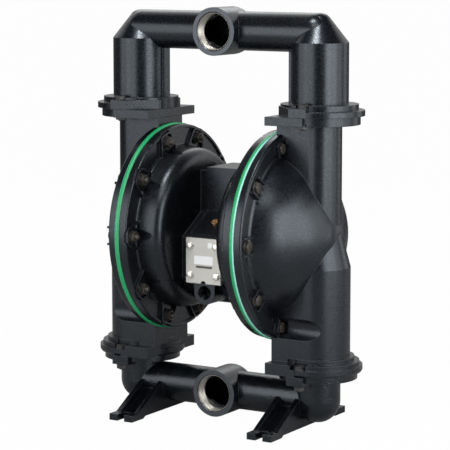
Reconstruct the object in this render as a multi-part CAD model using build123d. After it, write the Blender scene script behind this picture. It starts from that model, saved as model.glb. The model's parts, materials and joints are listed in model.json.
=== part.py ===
from build123d import *
from math import cos, radians, sin, sqrt
import os

# Air operated double diaphragm pump, 2 inch ports, metal. Millimetres, +Z up.
# X is the diaphragm axis, the ports face -Y, and the origin is on the floor below the middle.

# Main layout
COLUMN_X = 168.4            # middle plane to the axis of each valve column
CAP_RIM_R = 168.0           # bolted rims of the fluid caps and air caps
INLET_AXIS_Z = 46.5
INLET_LEG_HEIGHT = 49.3     # inlet axis to the bottom joint
LOWER_COLUMN_MARGIN = 47.0  # rim to the bottom joint
UPPER_COLUMN_MARGIN = 26.4  # rim to the top joint
OUTLET_LEG_HEIGHT = 129.6   # top joint to the outlet axis
BOTTOM_JOINT_Z = INLET_AXIS_Z + INLET_LEG_HEIGHT
DIAPHRAGM_AXIS_Z = BOTTOM_JOINT_Z + LOWER_COLUMN_MARGIN + CAP_RIM_R
TOP_JOINT_Z = DIAPHRAGM_AXIS_Z + CAP_RIM_R + UPPER_COLUMN_MARGIN
OUTLET_AXIS_Z = TOP_JOINT_Z + OUTLET_LEG_HEIGHT

# Manifold pipes and ports
PIPE_R = 31.4
PIPE_BORE_R = 25.4
PORT_R = 38.7
PORT_FACE_Y = -46.7
PORT_BACK_Y = 30.0
PORT_BACK_ROUND = 17.0
PORT_THREAD_R = 29.6
PORT_THREAD_DEPTH = 28.0
PORT_CHAMFER = 2.0

# Outlet manifold legs
OUTLET_LEG_R = 46.0
CONE_DROP = 14.8            # cone starts this far below the outlet axis
CONE_SLOPE = 1.28           # rise of the cone for each millimetre inward
CONE_TIP_ROUND = 19.0
PIPE_END_INSET = 8.0        # the pipe's round end stops short of the leg's axis
INNER_RIB_X = 115.0
INNER_RIB_WIDTH = 10.7

# Top joint
TOP_PLATE_R = 72.0
TOP_PLATE_THICK = 9.0
TOP_BLOCK_THICK = 14.8
TOP_BLOCK_HALF_DEPTH = 71.4
TOP_BLOCK_INNER_HALF = 32.5
TOP_BLOCK_INNER_X = -56.1   # from the column axis, minus is towards the middle
TOP_BLOCK_CHAMFER_X = -17.2
TOP_BLOCK_OUTER_X = 14.0
TOP_COLLAR_R = 62.0
TOP_COLLAR_THICK = 18.5
CAP_TOP_FLANGE_THICK = 13.8
CAP_TOP_FLANGE_INNER_X = -59.5
CAP_TOP_FLANGE_OUTER_X = 8.0
CAP_TOP_FLANGE_R = 65.0
TOP_BOLT_Y = TOP_BLOCK_HALF_DEPTH - 13.4
TOP_BOLT_X = 2.0

# Bottom joint
CAP_BOTTOM_FLANGE_THICK = 18.0
CAP_BOTTOM_FLANGE_INNER_X = -56.8
CAP_BOTTOM_FLANGE_OUTER_X = -4.0
CAP_BOTTOM_HALF_DEPTH = 73.1
CAP_BOTTOM_FLANGE_R = 71.0
CAP_BOTTOM_LIP_THICK = 11.0
CAP_BOTTOM_LIP_STEP = 5.0   # the flange above the lip is this much smaller
CAP_BOTTOM_LIP_CHAMFER = 2.0
CAP_BOTTOM_LIP_CHAMFER_HEIGHT = 3.0
CAP_BOTTOM_COLLAR_R = 58.0
CAP_BOTTOM_COLLAR_THICK = 25.0
INLET_FLANGE_R = 63.0
INLET_FLANGE_THICK = 11.0
INLET_BLOCK_THICK = 14.5
INLET_BLOCK_INNER_X = -18.0
INLET_BLOCK_OUTER_X = 12.0
BOTTOM_BOLT_Y = CAP_BOTTOM_HALF_DEPTH - 10.1

# Inlet manifold and feet
INLET_LEG_R = 36.0
INLET_LEG_BORE_R = 29.0
FOOT_INNER_X = 108.3
FOOT_OUTER_X = 152.4
FOOT_REACH_Y = 124.1
FOOT_PAD_BACK_Y = 90.0
FOOT_PAD_THICK = 10.7
FOOT_ARCH = 3.5
FOOT_SLOPE_START_Y = 104.0
FOOT_TOP_Y = 30.0
FOOT_TOP_Z = 52.0
FOOT_RIB = 8.5
FOOT_ARCH_RUN = 6.0         # length over which the arch under a foot rises
FOOT_CHANNEL_LEAD = 6.0     # open channel between a foot's ribs: its start before the slope
FOOT_CHANNEL_FLAT = 24.0    # the slope's start to the channel's bend
FOOT_CHANNEL_DROP = 14.4    # its floor below the foot's top
FOOT_CHANNEL_LEAN = 4.0
FOOT_SLOT_HALF = 6.5
FOOT_SLOT_BOTTOM_Y = 103.0

# Fluid caps
CAP_RIM_INNER_X = 110.0
CAP_RIM_OUTER_X = 123.0
CAP_RIM_ROUND = 4.0
RIM_FLAT = 20.5             # width of the rim's flat face
RIM_STEP = 6.0              # the dome's foot lies this far below the flat face
DOME_FOOT_INSET = 33.0      # rim's edge to the dome's foot
DOME_FOOT_ROUND = 8.0
DOME_APEX_X = 205.3
DOME_WALL = 8.6
# The dome's corners as shares of its depth and of its foot's radius, and their radii as shares of the latter
DOME_SHAPE = ((0, 1), (0.408, 0.848), (0.827, 0.459), (1, 0.148))
DOME_ROUNDS = (0.81, 1.11, 0.44)
UPPER_COLUMN_R = 36.0
LOWER_COLUMN_R = 51.0
COLUMN_INNER_X = 111.0
TAPER_TOP = 9.0             # above the diaphragm axis, where the lower column is as narrow as the upper one
TAPER_BOTTOM = 47.0         # below it, where the lower column has its full width
UPPER_PASSAGE_R = 27.0
POCKET_R = 22.0
POCKET_DEPTH = 8.0
CAP_RIB_OFFSET = 13.5       # to each side of a rim bolt
CAP_RIB_THICK = 3.4
CAP_RIB_HEIGHT = 6.5
CAP_RIB_LENGTH = 21.0

# Diaphragm and rim bolts
BEAD_STANDOUT = 2.4         # past the rims
BEAD_WIDTH = 30.4
BEAD_R = CAP_RIM_R + BEAD_STANDOUT
BEAD_INNER_R = BEAD_R - BEAD_WIDTH
BEAD_OUTER_X = 110.0        # face against the fluid cap
BEAD_INNER_X = 102.0        # face against the air cap
BEAD_ROUND = 3.2
DIAPHRAGM_THICK = 4.0
DIAPHRAGM_DISH = 12.0       # centre sits this far towards the middle at mid stroke
DIAPHRAGM_FLAT_MARGIN = 8.0
RIM_BOLT_COUNT = 10
RIM_BOLT_INSET = 18.0       # rim's edge to the bolts' axes
RIM_BOLT_CIRCLE_R = CAP_RIM_R - RIM_BOLT_INSET
RIM_BOLT_R = 5.0
RIM_BOLT_HOLE_R = 5.5
BOLT_HEAD_R = 9.2
BOLT_HEAD_THICK = 6.5
NUT_THICK = 8.5
RIM_STUD_REACH = 5.0
RIM_BOSS_R = 11.0
RIM_BOSS_THICK = 3.0
SPOT_MARGIN = 1.5           # flat around a bolt head or nut
SPOT_DEPTH = 14.0

# Air caps
AIR_RIM_INNER_X = 92.0
AIR_RIM_WIDTH = 34.0        # rim's edge to the bowl
AIR_BOWL_R = CAP_RIM_R - AIR_RIM_WIDTH
AIR_BOWL_TAPER = 5.0
AIR_FACE_X = 48.0
AIR_BOWL_ROUND = 20.0
AIR_WALL = 8.0
AIR_MOUTH_STEP = 2.0
AIR_LIP_WIDTH = 5.0         # raised lip along the rim's edge
AIR_LIP_HEIGHT = 3.5
HORSESHOE_TALL = 5.5        # raised ribs around the nuts, open towards the bowl
HORSESHOE_WALL = 3.2
HORSESHOE_HALF_OUT = 15.0
HORSESHOE_HALF_IN = 24.0
HORSESHOE_REACH = 15.0      # past the bolt's axis
HORSESHOE_ROUND = 10.0
SCALLOP_R = 19.5            # socket clearance cut into the bowl's side at each nut
AIR_GASKET_THICK = 1.5

# Moving centre: rod, washers, screws
STROKE = 22.0               # each way from mid stroke
ROD_R = 12.7
ROD_RUN_CLEARANCE = 0.05
WASHER_R = 84.0
AIR_WASHER_THICK = 7.0
FLUID_WASHER_THICK = 9.0
WASHER_EDGE_ROUND = 3.0
FLUID_WASHER_EDGE = 4.0     # height of the fluid washer's upright edge
FLUID_WASHER_EDGE_ROUND = 2.0
FLUID_WASHER_SLOPE = 22.0   # its edge to its flat top
FLUID_WASHER_TOP_ROUND = 20.0
SCREW_R = 8.0
SCREW_HEAD_R = 15.0
SCREW_HEAD_THICK = 12.0
SCREW_DEPTH = 34.0
BUSHING_R = 17.0
BUSHING_LENGTH = 30.0
SEAL_LENGTH = 6.0
SEAL_R = 19.0

# Centre body
BODY_HALF_X = 31.5
BODY_TOP_Z = DIAPHRAGM_AXIS_Z + 102.2
BODY_FRONT_Y = -15.0        # upper front face
BODY_SLOPE_TOP_Z = DIAPHRAGM_AXIS_Z + 31.2
VALVE_FRONT_Y = -72.0       # face that carries the cover plate
VALVE_TOP_Z = DIAPHRAGM_AXIS_Z + 0.2
VALVE_TOP_CHAMFER = 6.0
BODY_BOTTOM_Z = DIAPHRAGM_AXIS_Z - 102.8
BODY_BOTTOM_SETBACK = 30.0
BODY_BACK_Y = 66.0
SHELF_RIDGE_WIDTH = 3.0     # raised edges of the sloping shelf
SHELF_RIDGE_HEIGHT = 2.0
NECK_INSET = 7.0            # the necks to the air caps are this much smaller all round
SUMP_R = 25.0
SUMP_Z = DIAPHRAGM_AXIS_Z - 93.8
SUMP_Y = -8.0
AIR_INLET_Z = DIAPHRAGM_AXIS_Z - 94.3
AIR_INLET_R = 19.3
AIR_INLET_FACE_Y = -74.5
AIR_INLET_BORE_R = 11.7
AIR_INLET_DEPTH = 24.0
AIR_PASSAGE_STEP = 4.0      # on from the air inlet's bore, this much smaller and twice as deep
ROD_CHAMBER_CLEARANCE = 0.8
PILOT_CHAMBER_CLEARANCE = 1.0

# Main air valve
VALVE_Z = DIAPHRAGM_AXIS_Z - 42.3
PLATE_HALF_X = 32.3
PLATE_HALF_Z = 36.7
PLATE_THICK = 5.0
PLATE_GASKET_THICK = 1.0
PLATE_NOTCH_R = 4.5
PLATE_BOSS_GAP = 0.4
PLATE_SCREW_X = 24.5
PLATE_SCREW_Z = 23.8
PLATE_SCREW_R = 3.0
PLATE_SCREW_HEAD_R = 5.2
PLATE_SCREW_HEAD_THICK = 4.6
PLATE_SCREW_DEPTH = 16.0
PLATE_SOCKET_R = 2.9        # hexagon socket of a plate screw
PLATE_SOCKET_DEPTH = 2.4
PLATE_GASKET_WINDOW_INSET = 2.0     # the gasket reaches this far over the sleeve
SLEEVE_R = 19.0
SLEEVE_BORE_R = 14.0
SLEEVE_LENGTH = 118.0
SPOOL_CLEARANCE = 0.05
SLEEVE_END_WALL = 4.0
SPOOL_END_GAP = 1.0
SPOOL_WAIST_R = 8.0
SPOOL_LAND = 12.0
SPOOL_TRAVEL = 14.0
SPOOL_SEAL_WIDTH = 3.0
SPOOL_SEAL_DEPTH = 2.0
SLEEVE_PORT_R = 4.0
SLEEVE_PORT_SHARES = (0.3, 0.5, 0.7)    # places of its ports along the sleeve

# Pilot rod
PILOT_R = 6.0
PILOT_Z = DIAPHRAGM_AXIS_Z + 41.2
PILOT_Y = 24.0
PILOT_TRAVEL = 7.0
PILOT_WASHER_GAP = 0.5        # left between a shifted pilot rod and a washer at its stroke end
PILOT_BUSHING_R = 9.5
PILOT_BUSHING_LENGTH = 14.0

# Check valves
BALL_R = 30.0
BALL_LIFT = 9.0
BALL_GUIDE_CLEARANCE = 1.5
VALVE_BORE_R = 40.0         # bore of the outlet legs and of the lower columns
SEAT_BORE_R = 23.5
SEAT_THICK = 9.0
SEAT_FIT = 0.3
SEAT_BEVEL = 1.2
BALL_STOP_GAP = 0.3
SEAT_SEAL_WIDTH = 4.5
SEAT_SEAL_DEPTH = 3.0
SEAT_SEAL_R = 33.5
GUIDE_RIB_WIDTH = 6.0
GUIDE_RIB_TOP = 14.0        # rib height above the ball's highest place

# Joint bolts, air cap screws, ground screw, muffler
JOINT_BOLT_R = 5.0
JOINT_HOLE_R = 5.6
JOINT_HEAD_R = 9.0
JOINT_HEAD_THICK = 6.4
JOINT_NUT_THICK = 8.0
JOINT_STUD_REACH = 2.0
JOINT_NUT_RECESS = 4.0
JOINT_SPOT_BACK = 1.0       # of the flats that a joint bolt's head sits on, past the head
TOP_SPOT_SIDE = 2.0
BOTTOM_SPOT_SIDE = 3.0
CAP_SCREW_Y = (4.0, 48.0)
CAP_SCREW_LOW_INSET = 70.0  # lower and upper screws to the bowl's radius
CAP_SCREW_HIGH_INSET = 52.0
CAP_SCREW_RISE = (CAP_SCREW_LOW_INSET - AIR_BOWL_R, AIR_BOWL_R - CAP_SCREW_HIGH_INSET)
CAP_SCREW_R = 4.0
CAP_SCREW_HEAD_R = 6.5
CAP_SCREW_HEAD_THICK = 6.0
CAP_SCREW_DEPTH = 18.0
HOLE_MARGIN = 3.0           # of the air cap's holes around the bushings
SCREW_MARGIN = 0.5
GROUND_SCREW_R = 6.2
GROUND_SCREW_THICK = 3.0
GROUND_SCREW_SHANK_R = 3.0
GROUND_SCREW_DEPTH = 12.0
GROUND_SLOT_WIDTH = 1.6
GROUND_SLOT_DEPTH = 1.2
EXHAUST_R = 13.0
EXHAUST_Z = DIAPHRAGM_AXIS_Z - 60.8
MUFFLER_R = 24.0
MUFFLER_LENGTH = 78.0
MUFFLER_NECK = 14.0
MUFFLER_SLOTS = 8
MUFFLER_SLOT_WIDTH = 4.0
MUFFLER_SLOT_DEPTH = 3.0
MUFFLER_SLOT_MARGIN = 13.0  # solid wall at both ends of a slot
MUFFLER_END_ROUND = 5.0

# Worked-out sizes
RIM_ANGLES = [360 / RIM_BOLT_COUNT * index for index in range(RIM_BOLT_COUNT)]
BALL_RISE = sqrt(BALL_R ** 2 - SEAT_BORE_R ** 2)
OUTLET_SEAT_TOP_Z = TOP_JOINT_Z + SEAT_THICK
INLET_SEAT_TOP_Z = BOTTOM_JOINT_Z + SEAT_THICK
DISH_FACE_X = BEAD_OUTER_X - (BEAD_OUTER_X - BEAD_INNER_X - DIAPHRAGM_THICK) / 2 - DIAPHRAGM_DISH
DISH_BACK_X = DISH_FACE_X - DIAPHRAGM_THICK
AIR_WASHER_BACK_X = DISH_BACK_X - AIR_WASHER_THICK
PILOT_HALF_LENGTH = AIR_WASHER_BACK_X - STROKE - PILOT_TRAVEL - PILOT_WASHER_GAP
SPOOL_LENGTH = SLEEVE_LENGTH - SLEEVE_END_WALL - SPOOL_TRAVEL - 2 * SPOOL_END_GAP
BIG = 400.0                 # longer than any piece, for cutting right through


def cylinder_x(radius, start, end, y=0.0, z=0.0):
    return Pos((start + end) / 2, y, z) * Rot(0, 90, 0) * Cylinder(radius, abs(end - start))


def cylinder_y(radius, start, end, x=0.0, z=0.0):
    return Pos(x, (start + end) / 2, z) * Rot(90, 0, 0) * Cylinder(radius, abs(end - start))


def cylinder_z(radius, start, end, x=0.0, y=0.0):
    return Pos(x, y, (start + end) / 2) * Cylinder(radius, abs(end - start))


def block(x0, x1, y0, y1, z0, z1):
    return Pos((x0 + x1) / 2, (y0 + y1) / 2, (z0 + z1) / 2) * Box(abs(x1 - x0), abs(y1 - y0), abs(z1 - z0))


def profile(points, rounds=None):
    """Closed flat outline; rounds gives the radius of each rounded corner by its place in the list."""
    face = make_face(Polyline(*points, close=True))
    for index, radius in (rounds or {}).items():
        corner = face.vertices().sort_by_distance(Vector(*points[index], 0))[0]
        face = fillet(corner, radius)
    return face


def turned_x(points, rounds=None):
    """Solid turned about the diaphragm axis from points (x, radius)."""
    return Pos(0, 0, DIAPHRAGM_AXIS_Z) * revolve(profile(points, rounds), Axis.X)


def turned_z(points, rounds=None, x=0.0, y=0.0):
    """Solid turned about an upright axis from points (radius, z)."""
    outline = Rot(90, 0, 0) * profile(points, rounds)
    return Pos(x, y, 0) * revolve(outline, Axis.Z)


def plate_z(outline, z0, z1, x=0.0):
    """Flat plate with the given outline, between two heights."""
    return Pos(x, 0, z0) * extrude(outline, z1 - z0)


def hexagon(radius, thick):
    return Pos(0, 0, thick / 2) * extrude(RegularPolygon(radius, 6), thick / 2, both=True)


def both_sides(right):
    return [right, mirror(right, Plane.YZ)]


def rim_places(radius=None, angles=None):
    """Points (y, z) of the rim bolts about the diaphragm axis, the first one at the front."""
    circle = RIM_BOLT_CIRCLE_R if radius is None else radius
    return [(-circle * cos(radians(angle)), DIAPHRAGM_AXIS_Z + circle * sin(radians(angle)))
            for angle in (RIM_ANGLES if angles is None else angles)]


# Manifolds

def port_boss(axis_z):
    outline = [(PORT_FACE_Y, 0), (PORT_FACE_Y, PORT_R), (PORT_BACK_Y, PORT_R), (PORT_BACK_Y, 0)]
    boss = revolve(profile(outline, {2: PORT_BACK_ROUND}), Axis.X)
    return Pos(0, 0, axis_z) * Rot(0, 0, 90) * boss


def port_bore(axis_z):
    thread_end = PORT_FACE_Y + PORT_THREAD_DEPTH
    bore = cylinder_y(PORT_THREAD_R, PORT_FACE_Y, thread_end, z=axis_z)
    bore += cylinder_y(PIPE_BORE_R, thread_end, 0, z=axis_z)
    bore += Pos(0, 0, axis_z) * Sphere(PIPE_BORE_R)
    mouth = [(PORT_FACE_Y, 0), (PORT_FACE_Y, PORT_THREAD_R + PORT_CHAMFER),
             (PORT_FACE_Y + PORT_CHAMFER, PORT_THREAD_R), (PORT_FACE_Y + PORT_CHAMFER, 0)]
    return bore + Pos(0, 0, axis_z) * Rot(0, 0, 90) * revolve(profile(mouth), Axis.X)


def half_disc(radius, start_x):
    """Disc cut off on its inner side at start_x from its centre."""
    return Circle(radius) & Pos(start_x + BIG / 2, 0) * Rectangle(BIG, BIG)


def bolt_block_outline():
    points = [(TOP_BLOCK_INNER_X, -TOP_BLOCK_INNER_HALF), (TOP_BLOCK_CHAMFER_X, -TOP_BLOCK_HALF_DEPTH),
              (TOP_BLOCK_OUTER_X, -TOP_BLOCK_HALF_DEPTH), (TOP_BLOCK_OUTER_X, TOP_BLOCK_HALF_DEPTH),
              (TOP_BLOCK_CHAMFER_X, TOP_BLOCK_HALF_DEPTH), (TOP_BLOCK_INNER_X, TOP_BLOCK_INNER_HALF)]
    return profile(points)


def guide_ribs(x, start_z, end_z, wall_r):
    """Four upright ribs that keep a ball on its seat's axis."""
    inner = BALL_R + BALL_GUIDE_CLEARANCE
    rib = Pos((inner + wall_r + 1) / 2, 0, (start_z + end_z) / 2)
    rib *= Box(wall_r + 1 - inner, GUIDE_RIB_WIDTH, end_z - start_z)
    return [Pos(x, 0, 0) * Rot(0, 0, angle) * rib for angle in (45, 135, 225, 315)]


def ball_stop(x, ball_z, wall_r):
    """Bar across a column that the lifted ball meets."""
    low = ball_z + BALL_R + BALL_LIFT + BALL_STOP_GAP
    half = GUIDE_RIB_WIDTH
    return block(x - half, x + half, -wall_r - 1, wall_r + 1, low, low + GUIDE_RIB_WIDTH)


def outlet_leg():
    axis_top = OUTLET_AXIS_Z + PIPE_R
    shoulder = OUTLET_AXIS_Z - CONE_DROP
    tip_r = OUTLET_LEG_R - (axis_top - shoulder) / CONE_SLOPE
    outside = [(0, TOP_JOINT_Z), (OUTLET_LEG_R, TOP_JOINT_Z), (OUTLET_LEG_R, shoulder),
               (tip_r, axis_top), (0, axis_top)]
    leg = turned_z(outside, {3: CONE_TIP_ROUND}, x=COLUMN_X)
    leg += plate_z(bolt_block_outline(), TOP_JOINT_Z, TOP_JOINT_Z + TOP_BLOCK_THICK, x=COLUMN_X)
    leg += plate_z(half_disc(TOP_PLATE_R, TOP_BLOCK_OUTER_X), TOP_JOINT_Z,
                   TOP_JOINT_Z + TOP_PLATE_THICK, x=COLUMN_X)
    leg += cylinder_z(TOP_COLLAR_R, TOP_JOINT_Z, TOP_JOINT_Z + TOP_COLLAR_THICK, x=COLUMN_X)
    leg += block(INNER_RIB_X, COLUMN_X - VALVE_BORE_R, -INNER_RIB_WIDTH / 2, INNER_RIB_WIDTH / 2,
                 TOP_JOINT_Z, OUTLET_AXIS_Z)
    for side in (-1, 1):
        spot = block(COLUMN_X + TOP_BOLT_X - JOINT_HEAD_R - TOP_SPOT_SIDE, COLUMN_X + TOP_BLOCK_OUTER_X,
                     side * (TOP_BOLT_Y - JOINT_HEAD_R - JOINT_SPOT_BACK), side * BIG,
                     TOP_JOINT_Z + TOP_BLOCK_THICK, TOP_JOINT_Z + BIG / 4)
        leg -= spot - cylinder_z(OUTLET_LEG_R, TOP_JOINT_Z, TOP_JOINT_Z + BIG, x=COLUMN_X)
        leg -= cylinder_z(JOINT_HOLE_R, TOP_JOINT_Z - 1, TOP_JOINT_Z + BIG / 4,
                          x=COLUMN_X + TOP_BOLT_X, y=side * TOP_BOLT_Y)
    return leg


def outlet_leg_bore():
    shoulder = OUTLET_AXIS_Z - CONE_DROP
    wall = OUTLET_LEG_R - VALVE_BORE_R
    top = OUTLET_AXIS_Z + PIPE_R - 2 * wall
    start = shoulder - wall / 2
    inside = [(0, TOP_JOINT_Z - 1), (VALVE_BORE_R, TOP_JOINT_Z - 1), (VALVE_BORE_R, start),
              (VALVE_BORE_R - (top - start) / CONE_SLOPE, top), (0, top)]
    bore = turned_z(inside, x=COLUMN_X)
    stop_top = OUTLET_SEAT_TOP_Z + BALL_RISE + BALL_R + BALL_LIFT
    for rib in guide_ribs(COLUMN_X, OUTLET_SEAT_TOP_Z, stop_top, VALVE_BORE_R):
        bore -= rib
    return bore - ball_stop(COLUMN_X, OUTLET_SEAT_TOP_Z + BALL_RISE, VALVE_BORE_R)


def outlet_manifold():
    pipe_end = COLUMN_X - PIPE_END_INSET
    shape = cylinder_x(PIPE_R, -pipe_end, pipe_end, z=OUTLET_AXIS_Z)
    for side in (-1, 1):
        shape += Pos(side * pipe_end, 0, OUTLET_AXIS_Z) * Sphere(PIPE_R)
    for leg in both_sides(outlet_leg()):
        shape += leg
    shape += port_boss(OUTLET_AXIS_Z)
    shape -= cylinder_x(PIPE_BORE_R, -pipe_end, pipe_end, z=OUTLET_AXIS_Z)
    for bore in both_sides(outlet_leg_bore()):
        shape -= bore
    return shape - port_bore(OUTLET_AXIS_Z)


def inlet_leg():
    top = BOTTOM_JOINT_Z
    leg = cylinder_z(INLET_LEG_R, INLET_AXIS_Z, top, x=COLUMN_X)
    leg += Pos(COLUMN_X, 0, INLET_AXIS_Z) * Sphere(INLET_LEG_R)
    leg += cylinder_z(INLET_FLANGE_R, top - INLET_FLANGE_THICK, top, x=COLUMN_X)
    leg += block(COLUMN_X + INLET_BLOCK_INNER_X, COLUMN_X + INLET_BLOCK_OUTER_X,
                 -CAP_BOTTOM_HALF_DEPTH, CAP_BOTTOM_HALF_DEPTH, top - INLET_BLOCK_THICK, top)
    for side in (-1, 1):
        leg -= cylinder_z(JOINT_HOLE_R, top - BIG / 4, top + 1, x=COLUMN_X, y=side * BOTTOM_BOLT_Y)
    return leg


def inlet_leg_bore():
    bore = cylinder_z(INLET_LEG_BORE_R, INLET_AXIS_Z, BOTTOM_JOINT_Z + 1, x=COLUMN_X)
    return bore + Pos(COLUMN_X, 0, INLET_AXIS_Z) * Sphere(INLET_LEG_BORE_R)


def foot_half():
    """Side outline of the front half of a foot, as a list of (y, z) points."""
    return [(-FOOT_REACH_Y, 0), (-FOOT_PAD_BACK_Y, 0), (-FOOT_PAD_BACK_Y + FOOT_ARCH_RUN, FOOT_ARCH),
            (0, FOOT_ARCH), (0, FOOT_TOP_Z), (-FOOT_TOP_Y, FOOT_TOP_Z),
            (-FOOT_SLOPE_START_Y, FOOT_PAD_THICK), (-FOOT_REACH_Y, FOOT_PAD_THICK)]


def foot():
    def side_plate(points, x0, x1):
        outline = Plane.YZ * profile(points)
        return Pos(x0, 0, 0) * extrude(outline, x1 - x0)
    front = side_plate(foot_half(), FOOT_INNER_X, FOOT_OUTER_X)
    channel_z = FOOT_TOP_Z - FOOT_CHANNEL_DROP
    channel = [(-FOOT_SLOPE_START_Y - FOOT_CHANNEL_LEAD, FOOT_PAD_THICK),
               (-FOOT_SLOPE_START_Y + FOOT_CHANNEL_FLAT, FOOT_PAD_THICK), (-FOOT_TOP_Y, channel_z),
               (0, channel_z), (0, FOOT_TOP_Z + 1), (-FOOT_TOP_Y - FOOT_CHANNEL_LEAN, FOOT_TOP_Z + 1)]
    front -= side_plate(channel, FOOT_INNER_X + FOOT_RIB, FOOT_OUTER_X - FOOT_RIB)
    middle = (FOOT_INNER_X + FOOT_OUTER_X) / 2
    front -= block(middle - FOOT_SLOT_HALF, middle + FOOT_SLOT_HALF, -FOOT_REACH_Y - 1, -FOOT_SLOT_BOTTOM_Y,
                   -1, FOOT_PAD_THICK + 1)
    return front + mirror(front, Plane.XZ)


def inlet_manifold():
    shape = cylinder_x(PIPE_R, -COLUMN_X, COLUMN_X, z=INLET_AXIS_Z)
    for leg in both_sides(inlet_leg() + foot()):
        shape += leg
    shape += port_boss(INLET_AXIS_Z)
    shape -= cylinder_x(PIPE_BORE_R, -COLUMN_X, COLUMN_X, z=INLET_AXIS_Z)
    groove = seal_groove(BOTTOM_JOINT_Z - SEAT_SEAL_DEPTH, BOTTOM_JOINT_Z + 1)
    for bore in both_sides(inlet_leg_bore() + groove):
        shape -= bore
    return shape - port_bore(INLET_AXIS_Z)


# Fluid caps

def column_outline(radius):
    """Round outside, flat sides and a square inner end, about the column axis."""
    depth = COLUMN_X - COLUMN_INNER_X
    return Circle(radius) + Pos(-depth / 2, 0) * Rectangle(depth, 2 * radius)


def cap_top_flange():
    width = CAP_TOP_FLANGE_OUTER_X - CAP_TOP_FLANGE_INNER_X
    middle = (CAP_TOP_FLANGE_OUTER_X + CAP_TOP_FLANGE_INNER_X) / 2
    outline = Pos(middle, 0) * Rectangle(width, 2 * TOP_BLOCK_HALF_DEPTH)
    outline += half_disc(CAP_TOP_FLANGE_R, 0)
    return plate_z(outline, TOP_JOINT_Z - CAP_TOP_FLANGE_THICK, TOP_JOINT_Z, x=COLUMN_X)


def cap_bottom_flange():
    width = CAP_BOTTOM_FLANGE_OUTER_X - CAP_BOTTOM_FLANGE_INNER_X
    middle = (CAP_BOTTOM_FLANGE_OUTER_X + CAP_BOTTOM_FLANGE_INNER_X) / 2
    top = BOTTOM_JOINT_Z + CAP_BOTTOM_FLANGE_THICK
    outline = Pos(middle, 0) * Rectangle(width, 2 * CAP_BOTTOM_HALF_DEPTH)
    flange = plate_z(outline, BOTTOM_JOINT_Z, top, x=COLUMN_X)
    lip_top = BOTTOM_JOINT_Z + CAP_BOTTOM_LIP_THICK
    step_r = CAP_BOTTOM_FLANGE_R - CAP_BOTTOM_LIP_STEP
    collar_top = BOTTOM_JOINT_Z + CAP_BOTTOM_COLLAR_THICK
    lip = [(0, BOTTOM_JOINT_Z), (CAP_BOTTOM_FLANGE_R - CAP_BOTTOM_LIP_CHAMFER, BOTTOM_JOINT_Z),
           (CAP_BOTTOM_FLANGE_R, BOTTOM_JOINT_Z + CAP_BOTTOM_LIP_CHAMFER_HEIGHT),
           (CAP_BOTTOM_FLANGE_R, lip_top), (step_r, lip_top), (step_r, top),
           (CAP_BOTTOM_COLLAR_R, top), (CAP_BOTTOM_COLLAR_R, collar_top), (0, collar_top)]
    flange += turned_z(lip, x=COLUMN_X)
    for side in (-1, 1):
        spot_half = JOINT_HEAD_R + BOTTOM_SPOT_SIDE
        spot = block(COLUMN_X - spot_half, COLUMN_X + spot_half,
                     side * (BOTTOM_BOLT_Y - JOINT_HEAD_R - JOINT_SPOT_BACK), side * BIG, lip_top, BIG)
        flange -= spot
    return flange


def dome_points(inset):
    """Points (x, radius) from the dome's foot to its apex, for a dome smaller by inset."""
    foot_x = CAP_RIM_OUTER_X - RIM_STEP
    foot_r = CAP_RIM_R - DOME_FOOT_INSET - inset
    depth = DOME_APEX_X - inset - foot_x
    corners = [(foot_x + along * depth, share * foot_r) for along, share in DOME_SHAPE]
    return corners + [(DOME_APEX_X - inset, 0)]


def dome_rounds(first, inset):
    """Corner radii of the dome's points, where first is the place of its foot in the outline."""
    foot_r = CAP_RIM_R - DOME_FOOT_INSET - inset
    return {first + 1 + index: share * foot_r for index, share in enumerate(DOME_ROUNDS)}


def cap_shell():
    """Turned outside of a fluid cap: rim, stepped edge and dome."""
    flat_end_r = CAP_RIM_R - RIM_FLAT
    rim = [(CAP_RIM_INNER_X, 0), (CAP_RIM_INNER_X, CAP_RIM_R), (CAP_RIM_OUTER_X, CAP_RIM_R),
           (CAP_RIM_OUTER_X, flat_end_r), (CAP_RIM_OUTER_X - RIM_STEP, flat_end_r)]
    rounds = {2: CAP_RIM_ROUND, len(rim): DOME_FOOT_ROUND, **dome_rounds(len(rim), 0)}
    return turned_x(rim + dome_points(0), rounds)


def cap_hollow():
    points = dome_points(DOME_WALL)
    start = [(CAP_RIM_INNER_X - 1, 0), (CAP_RIM_INNER_X - 1, points[0][1])]
    return turned_x(start + points, dome_rounds(len(start), DOME_WALL))


def cap_rim_ribs():
    """Short upright ribs on both sides of each rim bolt."""
    ribs = []
    for angle in RIM_ANGLES:
        for side in (-1, 1):
            rib = Pos(CAP_RIM_OUTER_X, -RIM_BOLT_CIRCLE_R, side * CAP_RIB_OFFSET)
            rib *= Box(2 * CAP_RIB_HEIGHT, CAP_RIB_LENGTH, CAP_RIB_THICK)
            ribs.append(Pos(0, 0, DIAPHRAGM_AXIS_Z) * Rot(-angle, 0, 0) * rib)
    return ribs


def lower_column():
    """Lower valve column, narrowing to the upper column's width where the two meet."""
    full_z = DIAPHRAGM_AXIS_Z - TAPER_BOTTOM
    narrow_z = DIAPHRAGM_AXIS_Z + TAPER_TOP
    column = plate_z(column_outline(LOWER_COLUMN_R), BOTTOM_JOINT_Z, full_z, x=COLUMN_X)
    column += loft([Pos(COLUMN_X, 0, full_z) * column_outline(LOWER_COLUMN_R),
                    Pos(COLUMN_X, 0, narrow_z) * column_outline(UPPER_COLUMN_R)], ruled=True)
    for side in (-1, 1):
        z = rim_places(angles=[270 - side * 180 / RIM_BOLT_COUNT])[0][1]
        pocket_y = side * (LOWER_COLUMN_R + POCKET_R - POCKET_DEPTH)
        column -= cylinder_x(POCKET_R, CAP_RIM_OUTER_X, BIG, y=pocket_y, z=z)
    return column


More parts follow.
